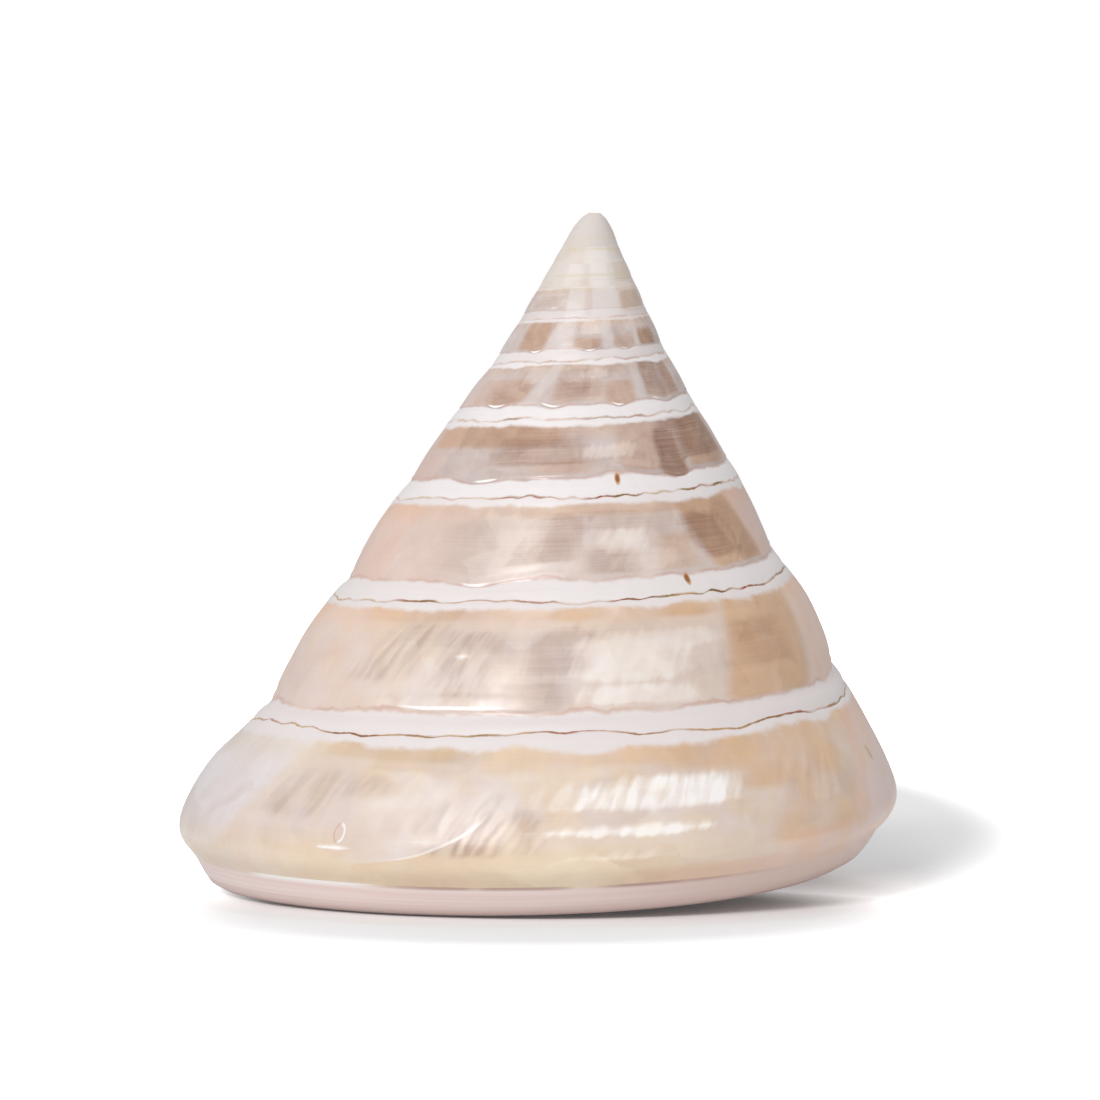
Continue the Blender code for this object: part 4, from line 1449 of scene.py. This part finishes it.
    def crack(self, colour: Wire) -> Wire:
        """Draw the thin crack along the seams, in parts open and dark.

        Args:
            colour: The colour under it.

        Returns:
            The colour with the crack.
        """
        look = self.look
        slant = self.attribute("slant")
        away = abs(self.row).smaller(1.0 - self.row + self.last_whorl * 9.0) * slant / MM
        away = away + self.on_base * 9.0 + self.at_tip * 9.0 + (self.fine - 0.5) * 0.30
        tone = self.noise(self.vector(self.turn * 15.0, 9.0, 0.0), 1.0, 1.0)
        thin = away.step(0.24, 0.05) * (0.25 + 0.75 * self.run.step(0.40, 0.56)) * (1.0 - 0.5 * self.upper)
        colour = self.mix(thin, colour, self.mix(tone.step(0.45, 0.6), look.crack, look.crack_red))
        wide = 0.03 + 0.62 * self.run * self.mottle
        opened = self.area(Tint.GAP, (self.run - 0.5) * 1.6) * (0.4 + 1.1 * self.strokes)
        dark = (away / wide).step(1.0, 0.4) * opened
        return self.mix(dark, colour, self.mix(tone.step(0.40, 0.60), look.crack_dark, look.crack_brown))

    def marks(self, colour: Wire) -> Wire:
        """Draw the few single marks: two pits, a ring with a painted highlight on its right half and
        painted shade on its left, and a stain.

        Args:
            colour: The colour under them.

        Returns:
            The colour with the marks.
        """
        look = self.look
        for shape in look.pits:
            away = self.oval(shape) + (self.fine - 0.5) * 0.5
            colour = self.mix(away.step(1.15, 0.85), colour, look.pit_edge)
            colour = self.mix(away.step(0.80, 0.45), colour, look.pit)
        # The ring: painted highlight on its right half, painted shade on its left
        ring = self.oval(look.ring)
        lit = self.turn.step(look.ring[0] + 0.001, look.ring[0] - 0.001)
        colour = self.mix(self.line(ring, 1.0, 0.26) * 0.7, colour, self.mix(lit, look.rim, look.bright))
        mark = self.oval(look.mark, -0.03) + (self.fine - 0.5) * 0.6
        return self.mix(mark.step(1.0, 0.6), colour, look.stain)


# --- Studio ----------------------------------------------------------------

@dataclass(frozen=True)
class View:
    """The camera: level with the middle of the shell, and straight in front of it."""

    aside: float = 3.65 * MM
    back: float = 479.8 * MM
    height: float = 45.6 * MM
    look_down: float = math.radians(0.39)
    look_left: float = math.radians(0.235)
    lens: float = 124.36
    sensor: float = 36.0
    nearest: float = 10.0 * MM

    def build(self) -> bpy.types.Object:
        """Add the camera and make it the scene's.

        Returns:
            The camera.
        """
        data = bpy.data.cameras.new("view")
        data.lens = self.lens
        data.sensor_width = self.sensor
        data.clip_start = self.nearest
        camera = bpy.data.objects.new("view", data)
        camera.location = (self.aside, -self.back, self.height)
        camera.rotation_euler = Euler((math.radians(90.0) - self.look_down, 0.0, self.look_left))
        bpy.context.scene.collection.objects.link(camera)
        bpy.context.scene.camera = camera
        return camera


@dataclass(frozen=True)
class Softbox:
    """One square lamp with a soft face, aimed at the shell."""

    name: str
    place: tuple[float, float, float]
    side: float
    power: float

    def build(self, target: Vector) -> bpy.types.Object:
        """Add the lamp.

        Args:
            target: What it is aimed at.

        Returns:
            The lamp.
        """
        data = bpy.data.lights.new(self.name, "AREA")
        data.shape = "SQUARE"
        data.size = self.side
        data.energy = self.power
        lamp = bpy.data.objects.new(self.name, data)
        lamp.location = self.place
        lamp.rotation_euler = (target - Vector(self.place)).to_track_quat("-Z", "Y").to_euler()
        bpy.context.scene.collection.objects.link(lamp)
        return lamp


@dataclass(frozen=True)
class Studio:
    """A white floor, soft lamps above and in front, and an even white world."""

    floor_size: float = 12.0
    floor_colour: tuple[float, ...] = (0.88, 0.88, 0.89, 1.0)
    floor_glow: float = 0.05
    far_glow: float = 1.0
    # Ovals in which the floor keeps its shadow: middle, half sizes, and where each fades out
    shadows: tuple[tuple[float, ...], ...] = (
        (0.0, -0.035, 0.052, 0.045, 0.60, 1.20), (0.036, 0.115, 0.038, 0.135, 0.70, 1.25))
    world_colour: tuple[float, ...] = (1.0, 1.0, 1.0, 1.0)
    world_level: float = 0.52
    world_seen: float = 1.0
    lamps: tuple[Softbox, ...] = (
        Softbox("behind", (0.08, 0.80, 1.35), 0.70, 3.5),
        Softbox("front", (-0.673, -1.511, 1.07), 0.55, 18.5),
    )

    def build(self) -> None:
        """Add the floor, the lamps and the world."""
        self.floor()
        low, high = CAD_BOX
        target = Vector([(a + b) / 2.0 for a, b in zip(low, high)])
        for lamp in self.lamps:
            lamp.build(target)
        self.world()

    def floor(self) -> bpy.types.Object:
        """Add the floor, which the camera sees a little brighter than it is.

        Returns:
            The floor.
        """
        bpy.ops.object.select_all(action="DESELECT")
        bpy.ops.mesh.primitive_plane_add(size=self.floor_size)
        floor = bpy.context.object
        floor.name = "floor"
        shader = Shader("floor")
        seen = shader.node("ShaderNodeLightPath", output="Is Camera Ray")
        place = shader.node("ShaderNodeTexCoord", output="Object")
        x, y = [shader.node("ShaderNodeSeparateXYZ", {}, {"Vector": place}, axis) for axis in "XY"]
        white = Wire(shader, 1.0)
        for middle_x, middle_y, half_x, half_y, kept, gone in self.shadows:
            away = ((x - middle_x) / half_x) ** 2.0 + ((y - middle_y) / half_y) ** 2.0
            white = (away ** 0.5).step(kept, gone).smaller(white)
        glow = self.floor_glow + white * (self.far_glow - self.floor_glow)
        matte = shader.node("ShaderNodeBsdfDiffuse", {}, {"Color": self.floor_colour})
        glow = shader.node("ShaderNodeEmission", {}, {"Strength": seen * glow})
        both = shader.node("ShaderNodeAddShader", {}, {0: matte, 1: glow})
        shader.node("ShaderNodeOutputMaterial", {}, {"Surface": both})
        floor.data.materials.append(shader.made)
        return floor

    def world(self) -> None:
        """Light the scene evenly, and show the camera plain white behind it."""
        shader = Shader("studio", bpy.data.worlds)
        seen = shader.node("ShaderNodeLightPath", output="Is Camera Ray")
        level = shader.node("ShaderNodeMix", {"data_type": "FLOAT"},
                            {0: seen, 2: self.world_level, 3: self.world_seen})
        light = shader.node("ShaderNodeBackground", {}, {"Color": self.world_colour, "Strength": level})
        shader.node("ShaderNodeOutputWorld", {}, {"Surface": light})
        bpy.context.scene.world = shader.made


def main() -> None:
    """Build the camera, the shell and the studio, attach the shell to its body, and log its faces."""
    logging.basicConfig(level=logging.INFO, format="%(message)s")
    bpy.context.scene.view_settings.view_transform = "Standard"
    View().build()
    shell = Shell().build()
    finish = Nacre()
    shell.data.materials.clear()
    shell.data.materials.append(finish.material())
    finish.patches.paint(shell, Growth())
    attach(shell, "root")
    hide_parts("shell")
    LOG.info("%s: %d faces", shell.name, len(shell.data.polygons))
    Studio().build()


if __name__ == "__main__":
    main()
